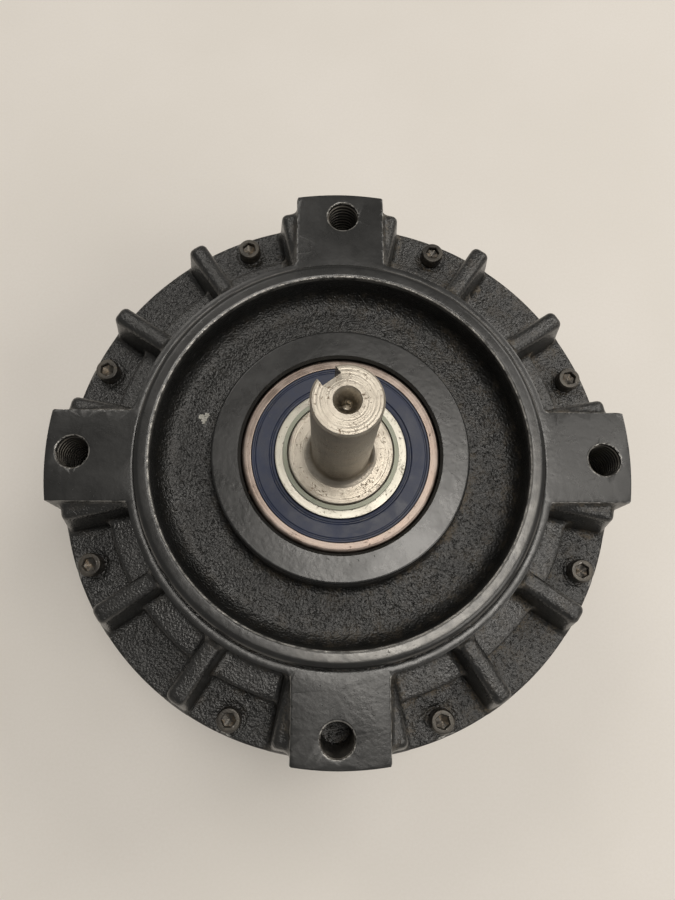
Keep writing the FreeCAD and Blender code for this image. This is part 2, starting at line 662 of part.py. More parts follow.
def terminal_block():
    """Moulded block with two screw terminals, a barrier between them and a wire hole under each."""
    body = block((box_floor, terminal_face), (-terminal_half_width, terminal_half_width), terminal_height)
    barrier = block((terminal_face, terminal_face + 2.0), (-0.8, 0.8), terminal_height)
    wells = [along_x(terminal_screw_r, terminal_face - 5, terminal_face + 1, side, terminal_z)
             for side in terminal_sides]
    entries = [Part.makeCylinder(wire_r, 2.0, Vector(wire_end_x, side, terminal_height[0]))
               for side in terminal_sides]
    return cut_all(body.fuse(barrier), wells + entries)


def lead_wire(sign):
    """Lead from the coil, out through the wall and up into its terminal."""
    side, end_side = sign * wire_half_spacing, sign * terminal_half_spacing
    bend_z = (wire_z + terminal_height[0]) / 2 + 3.0
    points = [Vector(winding_outer_r + 0.1, side, wire_z), Vector(wire_end_x, side, wire_z),
              Vector(wire_end_x, end_side, bend_z), Vector(wire_end_x, end_side, terminal_height[0] + 2.0)]
    path = rounded_path(points, [0, 3.5, 3.5, 0], False)
    section = Part.Wire(Part.makeCircle(wire_r, points[0], Vector(1, 0, 0)))
    return path.makePipeShell([section], True, False)


def wire_grommet():
    """Rubber plug in the wall, with a lip inside and a hole for each lead."""
    inner = box_foot_r - box_shell
    body = along_x(wire_hole_r, inner, box_floor, 0, wire_z)
    lip = along_x(wire_hole_r + 1.4, inner - 1.5, inner, 0, wire_z)
    wires = [along_x(wire_r, inner - 2, box_floor + 1, side, wire_z)
             for side in (-wire_half_spacing, wire_half_spacing)]
    return cut_all(body.fuse(lip), wires)


# ---- the pieces ----------------------------------------------------------------------------
def group(solids):
    return Part.makeCompound(solids)


output_bearing_top = output_bearing_z + output_bearing_size["width"]
rear_bearing_top = rear_bearing_z + output_bearing_size["width"]
input_journal_r = input_bearing_size["bore"]
input_seat_r = input_bearing_size["outer"]
hub_flange_top = spring_top + hub_flange_thickness
gasket_holes = around(disc(screw_hole_r, input_top - 1, split_z + 1, (screw_circle_r, 0)),
                      screw_count, first_screw_angle)

parts["output_housing"] = output_housing()
parts["input_housing"] = input_housing()
parts["housing_gasket"] = cut_all(tube(spigot_r + 0.1, flange_r - 0.3, input_top, split_z), gasket_holes)
parts["housing_screws"] = group(around(socket_screw(), screw_count, first_screw_angle))
parts["field_screws"] = group(around(field_screw(), 4, field_screw_angle))

add_bearing("output_bearing", output_bearing_size, output_bearing_z)
add_bearing("rear_bearing", output_bearing_size, rear_bearing_z)
add_bearing("input_bearing", input_bearing_size, input_bearing_z)
parts["bearing_spacer"] = tube(journal_r, journal_r + 2.8, rear_bearing_top, output_bearing_z)
parts["input_bearing_retaining_ring"] = split_ring(
    input_seat_r - 2.3, input_seat_r + bore_ring_bite,
    input_bearing_z - bore_ring_thickness, input_bearing_z, 25.0)

parts["output_shaft"] = output_shaft()
parts["shaft_retaining_ring"] = split_ring(
    journal_r - 0.7, journal_r + 1.4,
    output_bearing_top, output_bearing_top + snap_ring_thickness, 3.0, 250.0)
parts["armature_hub"] = armature_hub()
parts["hub_key"] = hub_key()
parts["hub_retaining_ring"] = split_ring(
    hub_seat_r - 0.6, hub_seat_r + 2.4, hub_ring_z, armature_hub_low, 40.0)
parts["hub_rivets"] = group(around(rivet(spring_low, hub_flange_top), spring_count))
parts["release_springs"] = group(around(release_spring(), spring_count))
parts["armature_plate"] = armature_plate()
parts["armature_rivets"] = group(around(rivet(armature_rivet_seat, spring_top), spring_count, spring_sweep))

parts["rotor_hub"] = rotor_hub()
parts["rotor_disc"] = rotor_disc()
parts["rotor_screws"] = group(around(rotor_screw(), 6))
parts["friction_ring"] = tube(friction_radii[0], friction_radii[1],
                              rotor_face_z - friction_thickness, rotor_face_z)
parts["rotor_retaining_ring"] = split_ring(
    input_journal_r - 0.6, input_journal_r + 2.1,
    input_bearing_z - snap_ring_thickness, input_bearing_z, 40.0)
parts["field_shell"] = field_shell()
parts["coil_bobbin"] = coil_bobbin()
parts["coil_winding"] = coil_winding()

box_pieces = {
    "conduit_box": [conduit_box()],
    "conduit_gasket": [conduit_gasket()],
    "conduit_cover": [conduit_cover()],
    "conduit_cover_screws": [pan_screw(cover_top, cover_screw_r, 2.9, 1.6, 9.0, side, z)
                             for side, z in cover_screw_places()],
    "conduit_box_screws": [pan_screw(box_floor, screw_r, 3.2, 2.2, 6.5, side, box_screw_z)
                           for side in box_screw_sides],
    "terminal_block": [terminal_block()],
    "terminal_screws": [pan_screw(terminal_face, terminal_screw_r, 2.8, 1.8, 5.0, side, terminal_z)
                        for side in terminal_sides],
    "wire_grommet": [wire_grommet()],
    "lead_wires": [lead_wire(sign) for sign in (-1, 1)],
}
for name, solids in box_pieces.items():
    placed = [turned(solid, box_angle) for solid in solids]
    parts[name] = placed[0] if len(placed) == 1 else group(placed)

os.makedirs("parts", exist_ok=True)
for name, shape in parts.items():
    shape.exportStep("parts/" + name + ".step")
    print(name, "solids", len(shape.Solids), "valid", shape.isValid(), "volume", round(shape.Volume, 1))
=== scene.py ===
"""Visual model of an electromagnetic clutch module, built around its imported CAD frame.

Everything is made in millimetres in the row frame and written to Blender in metres.
"""

from __future__ import annotations

import sys

import json
import logging
import math
from dataclasses import dataclass, field
from enum import Enum
from typing import Callable, Sequence

import bmesh
import bpy
import numpy as np
from mathutils import Matrix, Vector

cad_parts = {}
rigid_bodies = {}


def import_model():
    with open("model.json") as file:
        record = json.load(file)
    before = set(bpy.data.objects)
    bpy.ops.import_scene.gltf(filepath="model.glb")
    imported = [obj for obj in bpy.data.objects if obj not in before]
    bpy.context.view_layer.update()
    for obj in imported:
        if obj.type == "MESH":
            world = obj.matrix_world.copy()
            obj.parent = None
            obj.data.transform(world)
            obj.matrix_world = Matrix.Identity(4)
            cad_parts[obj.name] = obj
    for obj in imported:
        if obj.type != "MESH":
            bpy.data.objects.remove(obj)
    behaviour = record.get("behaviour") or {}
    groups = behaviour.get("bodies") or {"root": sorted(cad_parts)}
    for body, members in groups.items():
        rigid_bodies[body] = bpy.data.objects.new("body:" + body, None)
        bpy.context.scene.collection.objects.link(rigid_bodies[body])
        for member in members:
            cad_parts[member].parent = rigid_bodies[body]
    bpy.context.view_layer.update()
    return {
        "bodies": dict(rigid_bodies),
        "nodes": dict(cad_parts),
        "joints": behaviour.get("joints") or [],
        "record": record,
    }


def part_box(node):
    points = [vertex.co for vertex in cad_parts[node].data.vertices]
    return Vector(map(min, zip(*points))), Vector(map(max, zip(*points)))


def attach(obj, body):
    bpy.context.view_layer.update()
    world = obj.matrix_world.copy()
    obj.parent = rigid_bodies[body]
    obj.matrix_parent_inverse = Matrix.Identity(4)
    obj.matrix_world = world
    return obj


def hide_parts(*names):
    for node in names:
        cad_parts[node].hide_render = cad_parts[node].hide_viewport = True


LOG = logging.getLogger("clutch")
MM = 0.001
Corner = Sequence[float]
Colour = tuple[float, float, float, float]


# ---- node trees ------------------------------------------------------------------------------
class Graph:
    """Adds and joins nodes in a shader or geometry tree."""

    def __init__(self, tree: bpy.types.NodeTree) -> None:
        """Keep the tree that the nodes go in."""
        self.tree = tree

    def add(self, kind: str, inputs: dict | None = None, **settings: object) -> bpy.types.Node:
        """Add one node.

        Args:
            kind: the node's type.
            inputs: a constant or an output socket for each input, by name or number.
            settings: the node's own properties.

        Returns:
            The new node.
        """
        node = self.tree.nodes.new(kind)
        for name, value in settings.items():
            setattr(node, name, value)
        for key, value in (inputs or {}).items():
            if isinstance(value, bpy.types.NodeSocket):
                self.tree.links.new(value, node.inputs[key])
            else:
                node.inputs[key].default_value = value
        return node

    def math(self, operation: str, *values: object, clamp: bool = False) -> bpy.types.NodeSocket:
        """Add a Math node on up to three values and return its output."""
        node = self.add("ShaderNodeMath", dict(enumerate(values)), operation=operation, use_clamp=clamp)
        return node.outputs[0]

    def remap(self, value: object, low: float, high: float, to: tuple[float, float] = (0, 1)) -> bpy.types.NodeSocket:
        """Add a smooth, clamped Map Range from low..high to the two values of to, and return its output."""
        node = self.add("ShaderNodeMapRange", {0: value, 1: low, 2: high, 3: to[0], 4: to[1]},
                        interpolation_type="SMOOTHSTEP")
        return node.outputs[0]

    def mix(self, factor: object, first: object, second: object) -> bpy.types.NodeSocket:
        """Add a colour Mix and return its output."""
        node = self.add("ShaderNodeMix", {0: factor, 6: first, 7: second}, data_type="RGBA")
        return node.outputs[2]

    def noise(self, vector: object, scale: float, detail: float = 2.0, roughness: float = 0.5,
              distortion: float = 0.0) -> bpy.types.NodeSocket:
        """Add a Noise Texture and return its factor."""
        node = self.add("ShaderNodeTexNoise", {"Vector": vector, "Scale": scale, "Detail": detail,
                                               "Roughness": roughness, "Distortion": distortion})
        return node.outputs[0]


def shader_group(name: str, inputs: dict[str, float], outputs: Sequence[str]) -> tuple[Graph, dict, bpy.types.Node]:
    """Start a shader node group.

    Args:
        name: the group's name.
        inputs: default value of each float input, by name.
        outputs: names of the float outputs.

    Returns:
        The graph, the input sockets by name, and the group's output node.
    """
    tree = bpy.data.node_groups.new(name, "ShaderNodeTree")
    for label, value in inputs.items():
        socket = tree.interface.new_socket(label, in_out="INPUT", socket_type="NodeSocketFloat")
        socket.default_value = value
    for label in outputs:
        tree.interface.new_socket(label, in_out="OUTPUT", socket_type="NodeSocketFloat")
    graph = Graph(tree)
    entry = graph.add("NodeGroupInput")
    return graph, {label: entry.outputs[label] for label in inputs}, graph.add("NodeGroupOutput")


class Effects:
    """The shader groups that several finishes share."""

    def __init__(self) -> None:
        """Build each group once."""
        self.grain = self._cast_grain()
        self.wear = self._edge_wear()
        self.dust = self._dust()
        self.speckle = self._speckle()
        self.turning = self._turning()
        self.wear_lines_and_highlight = self._worn_lines_and_highlight()

    @staticmethod
    def _cast_grain() -> bpy.types.NodeTree:
        """Sand-cast skin: rounded lumps with small pits between them."""
        graph, sockets, out = shader_group("CastGrain", {"Scale": 900.0, "Pits": 0.5}, ["Height", "Tone"])
        place = graph.add("ShaderNodeTexCoord").outputs["Object"]
        lumps = graph.noise(place, sockets["Scale"], 2.0, 0.5)
        cells = graph.add("ShaderNodeTexVoronoi", {"Vector": place, "Scale": graph.math(
            "MULTIPLY", sockets["Scale"], 0.85), "Smoothness": 0.7}, feature="SMOOTH_F1").outputs["Distance"]
        broad = graph.noise(place, graph.math("MULTIPLY", sockets["Scale"], 0.16), 2.0)
        pits = graph.remap(graph.noise(place, graph.math("MULTIPLY", sockets["Scale"], 0.6), 2.0, 0.5), 0.30, 0.42)
        raised = graph.math("ADD", lumps, graph.math("MULTIPLY", cells, -0.45))
        sunk = graph.math("MULTIPLY", graph.math("SUBTRACT", 1.0, pits), sockets["Pits"])
        height = graph.math("SUBTRACT", graph.math("ADD", raised, graph.math("MULTIPLY", broad, 0.5)), sunk)
        graph.tree.links.new(height, out.inputs["Height"])
        graph.tree.links.new(broad, out.inputs["Tone"])
        return graph.tree

    @staticmethod
    def _edge_wear() -> bpy.types.NodeTree:
        """Where sharp outside edges have worn through, from the convex attribute."""
        graph, sockets, out = shader_group("EdgeWear", {"Scale": 700.0, "Amount": 0.5}, ["Mask"])
        place = graph.add("ShaderNodeTexCoord").outputs["Object"]
        edge = graph.add("ShaderNodeAttribute", attribute_name="convex").outputs["Fac"]
        patchy = graph.noise(place, sockets["Scale"], 4.0, 0.65)
        level = graph.math("ADD", graph.math("MULTIPLY", edge, sockets["Amount"]), patchy)
        mask = graph.math("MULTIPLY", graph.remap(level, 0.86, 1.02), graph.remap(edge, 0.05, 0.35))
        graph.tree.links.new(mask, out.inputs["Mask"])
        return graph.tree

    @staticmethod
    def _dust() -> bpy.types.NodeTree:
        """Dust that lies in corners and on rough level places, from the concave attribute."""
        graph, sockets, out = shader_group("SettledDust", {"Scale": 260.0, "Corners": 0.7, "Level": 0.3}, ["Mask"])
        place = graph.add("ShaderNodeTexCoord").outputs["Object"]
        hollow = graph.add("ShaderNodeAttribute", attribute_name="concave").outputs["Fac"]
        upward = graph.add("ShaderNodeSeparateXYZ", {0: graph.add("ShaderNodeNewGeometry").outputs["Normal"]})
        flat = graph.remap(upward.outputs[2], 0.75, 1.0)
        patches = graph.remap(graph.noise(place, sockets["Scale"], 5.0, 0.62), 0.42, 0.68)
        fine = graph.noise(place, graph.math("MULTIPLY", sockets["Scale"], 7.0), 2.0, 0.6)
        amount = graph.math("ADD", graph.math("MULTIPLY", hollow, sockets["Corners"]),
                            graph.math("MULTIPLY", flat, sockets["Level"]))
        mask = graph.math("MULTIPLY", graph.math("MULTIPLY", amount, patches), graph.remap(fine, 0.35, 0.6))
        graph.tree.links.new(graph.math("MINIMUM", mask, 1.0), out.inputs["Mask"])
        return graph.tree

    @staticmethod
    def _speckle() -> bpy.types.NodeTree:
        """Small irregular spots, as rust freckles or specks of dirt."""
        graph, sockets, out = shader_group("Speckle", {"Scale": 900.0, "Coverage": 0.3}, ["Mask"])
        place = graph.add("ShaderNodeTexCoord").outputs["Object"]
        fine = graph.noise(place, sockets["Scale"], 3.0, 0.7, 0.6)
        region = graph.noise(place, graph.math("MULTIPLY", sockets["Scale"], 0.13), 2.0)
        level = graph.math("ADD", fine, graph.math("MULTIPLY", region, 0.35))
        start = graph.math("SUBTRACT", 0.98, graph.math("MULTIPLY", sockets["Coverage"], 0.4))
        mask = graph.math("MULTIPLY", graph.math("SUBTRACT", level, start), 9.0, clamp=True)
        graph.tree.links.new(mask, out.inputs["Mask"])
        return graph.tree

    @staticmethod
    def _turning() -> bpy.types.NodeTree:
        """Fine rings left by turning about the shaft's axis."""
        graph, sockets, out = shader_group("TurningMarks", {"Rings": 2500.0}, ["Height"])
        place = graph.add("ShaderNodeTexCoord").outputs["Object"]
        parts = graph.add("ShaderNodeSeparateXYZ", {0: place})
        squares = [graph.math("MULTIPLY", parts.outputs[k], parts.outputs[k]) for k in (0, 1)]
        radius = graph.math("SQRT", graph.math("ADD", squares[0], squares[1]))
        along = graph.math("ADD", radius, graph.math("MULTIPLY", parts.outputs[2], 0.8))
        rings = graph.add("ShaderNodeTexNoise", {"W": graph.math("MULTIPLY", along, sockets["Rings"]), "Scale": 1.0,
                                                 "Detail": 3.0}, noise_dimensions="1D").outputs[0]
        graph.tree.links.new(rings, out.inputs["Height"])
        return graph.tree


    @staticmethod
    def _worn_lines_and_highlight() -> bpy.types.NodeTree:
        """Thin worn lines on the register's inner edge, the pads' sides and the tapped holes' mouths, and a painted
        highlight on the lower right of the register's crown.
        """
        graph, sockets, out = shader_group("RubbedEdges", {
            "Face": 0.1016, "Register": 0.05265, "PadHalf": 0.0131, "Circle": 0.0746, "Mouth": 0.00475,
            "Turn": 0.01134}, ["Mask"])
        place = graph.add("ShaderNodeTexCoord").outputs["Object"]
        parts = graph.add("ShaderNodeSeparateXYZ", {0: place})
        level = graph.add("ShaderNodeCombineXYZ", {0: parts.outputs[0], 1: parts.outputs[1]}).outputs[0]
        radius = graph.add("ShaderNodeVectorMath", {0: level}, operation="LENGTH").outputs["Value"]
        off_face = graph.math("SUBTRACT", parts.outputs[2], sockets["Face"])
        on_face = graph.remap(graph.math("ABSOLUTE", off_face), 0.0006, 0.0003)
        turned = graph.add("ShaderNodeVectorRotate", {"Vector": place, "Angle": graph.math(
            "MULTIPLY", sockets["Turn"], -1.0)}, rotation_type="Z_AXIS").outputs[0]
        lines = []
        for where, straight in ((turned, True), (place, False)):
            sides = graph.add("ShaderNodeSeparateXYZ", {0: where})
            flat = [graph.math("ABSOLUTE", sides.outputs[k]) for k in (0, 1)]
            out_way, across = graph.math("MAXIMUM", *flat), graph.math("MINIMUM", *flat)
            if straight:
                away = graph.math("ABSOLUTE", graph.math("SUBTRACT", across, sockets["PadHalf"]))
            else:
                from_hole = graph.add("ShaderNodeCombineXYZ", {0: graph.math("SUBTRACT", out_way, sockets["Circle"]),
                                                               1: across})
                distance = graph.add("ShaderNodeVectorMath", {0: from_hole.outputs[0]}, operation="LENGTH")
                away = graph.math("ABSOLUTE", graph.math("SUBTRACT", distance.outputs["Value"], sockets["Mouth"]))
            line = graph.math("MULTIPLY", graph.remap(away, 0.00026, 0.00006), on_face)
            lines.append(graph.math("MULTIPLY", line, graph.remap(radius, 0.060, 0.0605)))
        inner = graph.remap(graph.math("ABSOLUTE", graph.math("SUBTRACT", radius, sockets["Register"])), 0.00032, 0.00008)
        lines.append(graph.math("MULTIPLY", inner, graph.remap(off_face, 0.002, 0.0025)))
        line = graph.math("MAXIMUM", graph.math("MAXIMUM", lines[0], lines[1]), lines[2])
        # Painted highlight: the register's crown is lightened towards bare metal on its lower right side only, the side
        # that reflects the light; the noise only breaks it up.
        toward = graph.add("ShaderNodeVectorMath", {0: level, 1: (0.64, -0.77, 0.0)}, operation="DOT_PRODUCT")
        side = graph.remap(graph.math("DIVIDE", toward.outputs["Value"], radius), 0.35, 0.9)
        crown = graph.remap(graph.math("ABSOLUTE", graph.math("SUBTRACT", radius, graph.math(
            "ADD", sockets["Register"], 0.0013))), 0.0017, 0.0008)
        painted_highlight = graph.math("MULTIPLY", graph.math("MULTIPLY", side, crown), graph.remap(off_face, 0.002, 0.0025))
        highlight_breakup = graph.remap(graph.noise(place, 260.0, 4.0, 0.6), 0.3, 0.7, (0.2, 0.62))
        patchy = graph.remap(graph.noise(place, 420.0, 3.0, 0.6), 0.36, 0.56, (0.12, 1.0))
        graph.tree.links.new(graph.math("MAXIMUM", graph.math("MULTIPLY", line, patchy),
                                        graph.math("MULTIPLY", painted_highlight, highlight_breakup)), out.inputs["Mask"])
        return graph.tree


# ---- finishes --------------------------------------------------------------------------------
def principled(name: str, **constants: float) -> tuple[bpy.types.Material, Graph, bpy.types.Node, bpy.types.NodeSocket]:
    """Start a material on one Principled shader.

    Args:
        name: the material's name.
        constants: values set on the shader's own sockets; underscores stand for spaces.

    Returns:
        The material, its graph, the shader node, and the object coordinates.
    """
    material = bpy.data.materials.new(name)
    material.use_nodes = True
    material.node_tree.nodes.clear()
    graph = Graph(material.node_tree)
    shader = graph.add("ShaderNodeBsdfPrincipled")
    for label, value in constants.items():
        shader.inputs[label.replace("_", " ")].default_value = value
    graph.add("ShaderNodeOutputMaterial", {"Surface": shader.outputs[0]})
    return material, graph, shader, graph.add("ShaderNodeTexCoord").outputs["Object"]


def effect(graph: Graph, tree: bpy.types.NodeTree, **values: float) -> bpy.types.Node:
    """Place a shared group in a material with its own values."""
    node = graph.add("ShaderNodeGroup", node_tree=tree)
    for label, value in values.items():
        node.inputs[label].default_value = value
    return node


@dataclass(frozen=True)
class Enamel:
    """Black enamel over an iron casting, rough where the casting was left as cast."""

    name: str
    paint: Colour = (0.0070, 0.0071, 0.0068, 1)
    dust: Colour = (0.105, 0.083, 0.055, 1)
    # Colour of bare metal where the paint is worn, also used for the painted highlight on the register's crown.
    bare_metal_and_highlight: Colour = (0.30, 0.29, 0.27, 1)
    rough_everywhere: float = 0.0
    grain: float = 1650.0
    depth: float = 0.00016
    wear: float = 0.55
    dust_level: float = 0.32
    wear_lines_and_highlight: float = 1.0
    # Strength of the worn lines and of the painted highlight on the register's crown.
    chips: tuple[tuple[float, float, float, float], ...] = ()

    def material(self, effects: Effects) -> bpy.types.Material:
        """Build the material."""
        material, graph, shader, place = principled(self.name, Specular_IOR_Level=0.5, IOR=1.62)
        cast = graph.add("ShaderNodeAttribute", attribute_name="cast").outputs["Fac"]
        cast = graph.math("MAXIMUM", cast, self.rough_everywhere)
        grain = effect(graph, effects.grain, Scale=self.grain, Pits=0.55)
        wear = effect(graph, effects.wear, Scale=650.0, Amount=self.wear).outputs["Mask"]
        dust = effect(graph, effects.dust, Scale=240.0, Corners=1.0, Level=self.dust_level).outputs["Mask"]
        # This mask is weighted towards +x and fades to an eighth towards -x, so the corners are lighter towards the
        # right.
        across = graph.add("ShaderNodeSeparateXYZ", {0: place}).outputs[0]
        dust = graph.math("MULTIPLY", graph.math("MULTIPLY", dust, graph.remap(cast, 0.1, 0.6)),
                          graph.remap(across, -0.06, 0.06, (0.12, 1.0)))
        tone = graph.mix(graph.remap(grain.outputs["Tone"], 0.3, 0.7), self.paint,
                         tuple(c * 1.55 for c in self.paint[:3]) + (1,))
        colour = graph.mix(dust, tone, self.dust)
        wear = graph.math("MULTIPLY", wear, graph.remap(cast, 0.15, 0.4))
        # The worn lines and the painted highlight on the register's crown join the edge wear here, so from here on the
        # wear mask also carries painted highlight.
        wear_lines_and_highlight = graph.math("MULTIPLY", effect(graph, effects.wear_lines_and_highlight).outputs["Mask"], self.wear_lines_and_highlight)
        wear = graph.math("MAXIMUM", wear, wear_lines_and_highlight)
        colour = graph.mix(graph.math("MULTIPLY", wear, 0.8), colour, self.bare_metal_and_highlight)
        metal = graph.math("MULTIPLY", wear, 0.5)
        for x, y, z, radius in self.chips:
            near = graph.add("ShaderNodeVectorMath", {0: place, 1: (x, y, z)}, operation="DISTANCE").outputs["Value"]
            ragged = graph.math("ADD", near, graph.math("MULTIPLY", graph.noise(place, 1500.0, 3.0), radius * 1.6))
            chip = graph.remap(ragged, radius * 1.84, radius * 1.76)
            colour = graph.mix(chip, colour, (0.50, 0.49, 0.44, 1))
        scuff = graph.noise(place, 90.0, 4.0, 0.6)
        smooth = graph.remap(scuff, 0.3, 0.7, (0.25, 0.34))
        rough = graph.remap(scuff, 0.3, 0.7, (0.29, 0.40))
        level = graph.add("ShaderNodeMix", {0: cast, 2: smooth, 3: rough}).outputs[0]
        level = graph.math("ADD", level, graph.math("MULTIPLY", dust, 0.35), clamp=True)
        orange_peel = graph.math("ADD", graph.math("MULTIPLY", graph.noise(place, 650.0, 2.0), 0.14),
                                 graph.math("MULTIPLY", graph.noise(place, 130.0, 2.0), 0.15))
        nibs = graph.math("MULTIPLY", effect(graph, effects.speckle, Scale=1000.0, Coverage=0.22).outputs["Mask"], 0.4)
        relief = graph.math("ADD", graph.math("MULTIPLY", grain.outputs["Height"], cast),
                            graph.math("ADD", orange_peel, nibs))
        bump = graph.add("ShaderNodeBump", {"Height": relief, "Distance": self.depth * 2.4, "Strength": 0.85})
        for label, socket in (("Base Color", colour), ("Roughness", level), ("Metallic", metal),
                              ("Normal", bump.outputs[0])):
            graph.tree.links.new(socket, shader.inputs[label])
        return material


@dataclass(frozen=True)
class Metal:
    """Bare or plated metal with turning marks, freckles and a film of grime in hollows; on the black oxide the film is
    lighter and partly painted light on the socket floors.
    """

    name: str
    colour: Colour
    second: Colour
    freckle: Colour = (0.10, 0.06, 0.03, 1)
    metallic: float = 1.0
    roughness: tuple[float, float] = (0.25, 0.42)
    freckles: float = 0.2
    freckle_scale: float = 1500.0
    rings: float = 2500.0
    ring_depth: float = 0.00001
    wear: float = 0.0
    film: float = 0.5
    turned: float = 0.0

    def material(self, effects: Effects) -> bpy.types.Material:
        """Build the material."""
        material, graph, shader, place = principled(self.name)
        cloud = graph.noise(place, 140.0, 5.0, 0.6)
        rings = effect(graph, effects.turning, Rings=self.rings).outputs["Height"]
        spots = effect(graph, effects.speckle, Scale=self.freckle_scale, Coverage=self.freckles).outputs["Mask"]
        wear = effect(graph, effects.wear, Scale=500.0, Amount=self.wear).outputs["Mask"]
        film = effect(graph, effects.dust, Scale=500.0, Corners=0.9, Level=0.05).outputs["Mask"]
        colour = graph.mix(graph.remap(cloud, 0.35, 0.65), self.colour, self.second)
        # Grime film in hollows, in the freckle colour; on the black oxide it is light brown and partly painted light,
        # lightening the socket floors.
        colour = graph.mix(graph.math("MULTIPLY", film, self.film), colour, self.freckle)
        colour = graph.mix(graph.math("MULTIPLY", wear, 0.8), colour, (0.55, 0.53, 0.50, 1))
        colour = graph.mix(spots, colour, self.freckle)
        dull = graph.remap(cloud, 0.3, 0.7, self.roughness)
        dull = graph.math("ADD", dull, graph.math("MULTIPLY", spots, 0.4), clamp=True)
        metallic = graph.math("MULTIPLY", graph.math("SUBTRACT", 1.0, graph.math("MULTIPLY", spots, 0.8)),
                              graph.math("MAXIMUM", self.metallic, wear))
        if self.turned:
            parts = graph.add("ShaderNodeSeparateXYZ", {0: place})
            round_way = graph.add("ShaderNodeCombineXYZ", {0: graph.math("MULTIPLY", parts.outputs[1], -1.0),
                                                           1: parts.outputs[0]}).outputs[0]
            round_way = graph.add("ShaderNodeVectorTransform", {0: round_way}, vector_type="VECTOR",
                                  convert_from="OBJECT", convert_to="WORLD").outputs[0]
            graph.tree.links.new(graph.add("ShaderNodeVectorMath", {0: round_way}, operation="NORMALIZE").outputs[0],
                                 shader.inputs["Tangent"])
            shader.inputs["Anisotropic"].default_value = self.turned
        relief = graph.math("SUBTRACT", rings, graph.math("MULTIPLY", spots, 0.8))
        bump = graph.add("ShaderNodeBump", {"Height": relief, "Distance": self.ring_depth * 4, "Strength": 0.7})
        for label, socket in (("Base Color", colour), ("Roughness", dull), ("Metallic", metallic),
                              ("Normal", bump.outputs[0])):
            graph.tree.links.new(socket, shader.inputs[label])
        return material


@dataclass(frozen=True)
class Moulded:
    """Rubber, plastic or fibre with a fine moulded skin and specks of dirt."""

    name: str
    colour: Colour
    second: Colour
    dirt: Colour = (0.05, 0.045, 0.035, 1)
    roughness: tuple[float, float] = (0.45, 0.62)
    skin_scale: float = 2200.0
    skin_depth: float = 0.00003
    specks: float = 0.15

    def material(self, effects: Effects) -> bpy.types.Material:
        """Build the material."""
        material, graph, shader, place = principled(self.name)
        cloud = graph.noise(place, 170.0, 4.0, 0.6)
        skin = graph.noise(place, self.skin_scale, 3.0, 0.6)
        specks = effect(graph, effects.speckle, Scale=1100.0, Coverage=self.specks).outputs["Mask"]
        film = effect(graph, effects.dust, Scale=420.0, Corners=0.8, Level=0.12).outputs["Mask"]
        colour = graph.mix(graph.remap(cloud, 0.35, 0.65), self.colour, self.second)
        colour = graph.mix(graph.math("MAXIMUM", graph.math("MULTIPLY", specks, 0.7), film), colour, self.dirt)
        dull = graph.remap(cloud, 0.3, 0.7, self.roughness)
        bump = graph.add("ShaderNodeBump", {"Height": skin, "Distance": self.skin_depth, "Strength": 0.8})
        for label, socket in (("Base Color", colour), ("Roughness", dull), ("Normal", bump.outputs[0])):
            graph.tree.links.new(socket, shader.inputs[label])
        return material


class Finish(Enum):
    """The finishes of the clutch, one for each material slot of the record."""

    HOUSING = "housing_paint"
    GASKET = "gasket"
    OXIDE = "black_oxide"
    ZINC = "zinc_steel"
    TARNISHED = "tarnished_ring"
    BEARING = "bearing_steel"
    SEAL = "blue_seal"
    BALL = "ball_steel"
    CAGE = "cage_steel"
    RING = "ring_steel"
    SHAFT = "shaft_steel"
    MACHINED = "machined_steel"
    SPRING = "spring_steel"
    LINING = "friction_lining"
    BOBBIN = "bobbin_plastic"
    COPPER = "copper_winding"
    TERMINAL = "terminal_plastic"
    BRASS = "terminal_brass"
    GROMMET = "grommet_rubber"
    INSULATION = "wire_insulation"


class Paintshop:
    """Builds the materials and puts them on pieces."""

    def __init__(self, effects: Effects, recipes: dict[Finish, Enamel | Metal | Moulded]) -> None:
        """Build one material for each finish."""
        self.materials = {finish: recipe.material(effects) for finish, recipe in recipes.items()}
        self.as_cast = Enamel("housing_enamel_as_cast", rough_everywhere=0.6, wear_lines_and_highlight=0.0).material(effects)

    def dress(self, piece: bpy.types.Object, finish: Finish) -> bpy.types.Object:
        """Give a new piece the material of its finish."""
        piece.data.materials.clear()
        piece.data.materials.append(self.materials[finish])
        return piece

    def dress_frame(self, frame: dict) -> None:
        """Give every CAD node the procedural material of its slot."""
        slots = {part["node"]: part["material_slot"] for part in frame["record"]["subparts"]}
        for name, node in frame["nodes"].items():
            finish = Finish(slots[name])
            material = self.as_cast if finish is Finish.HOUSING else self.materials[finish]
            for slot in node.material_slots:
                slot.material = material


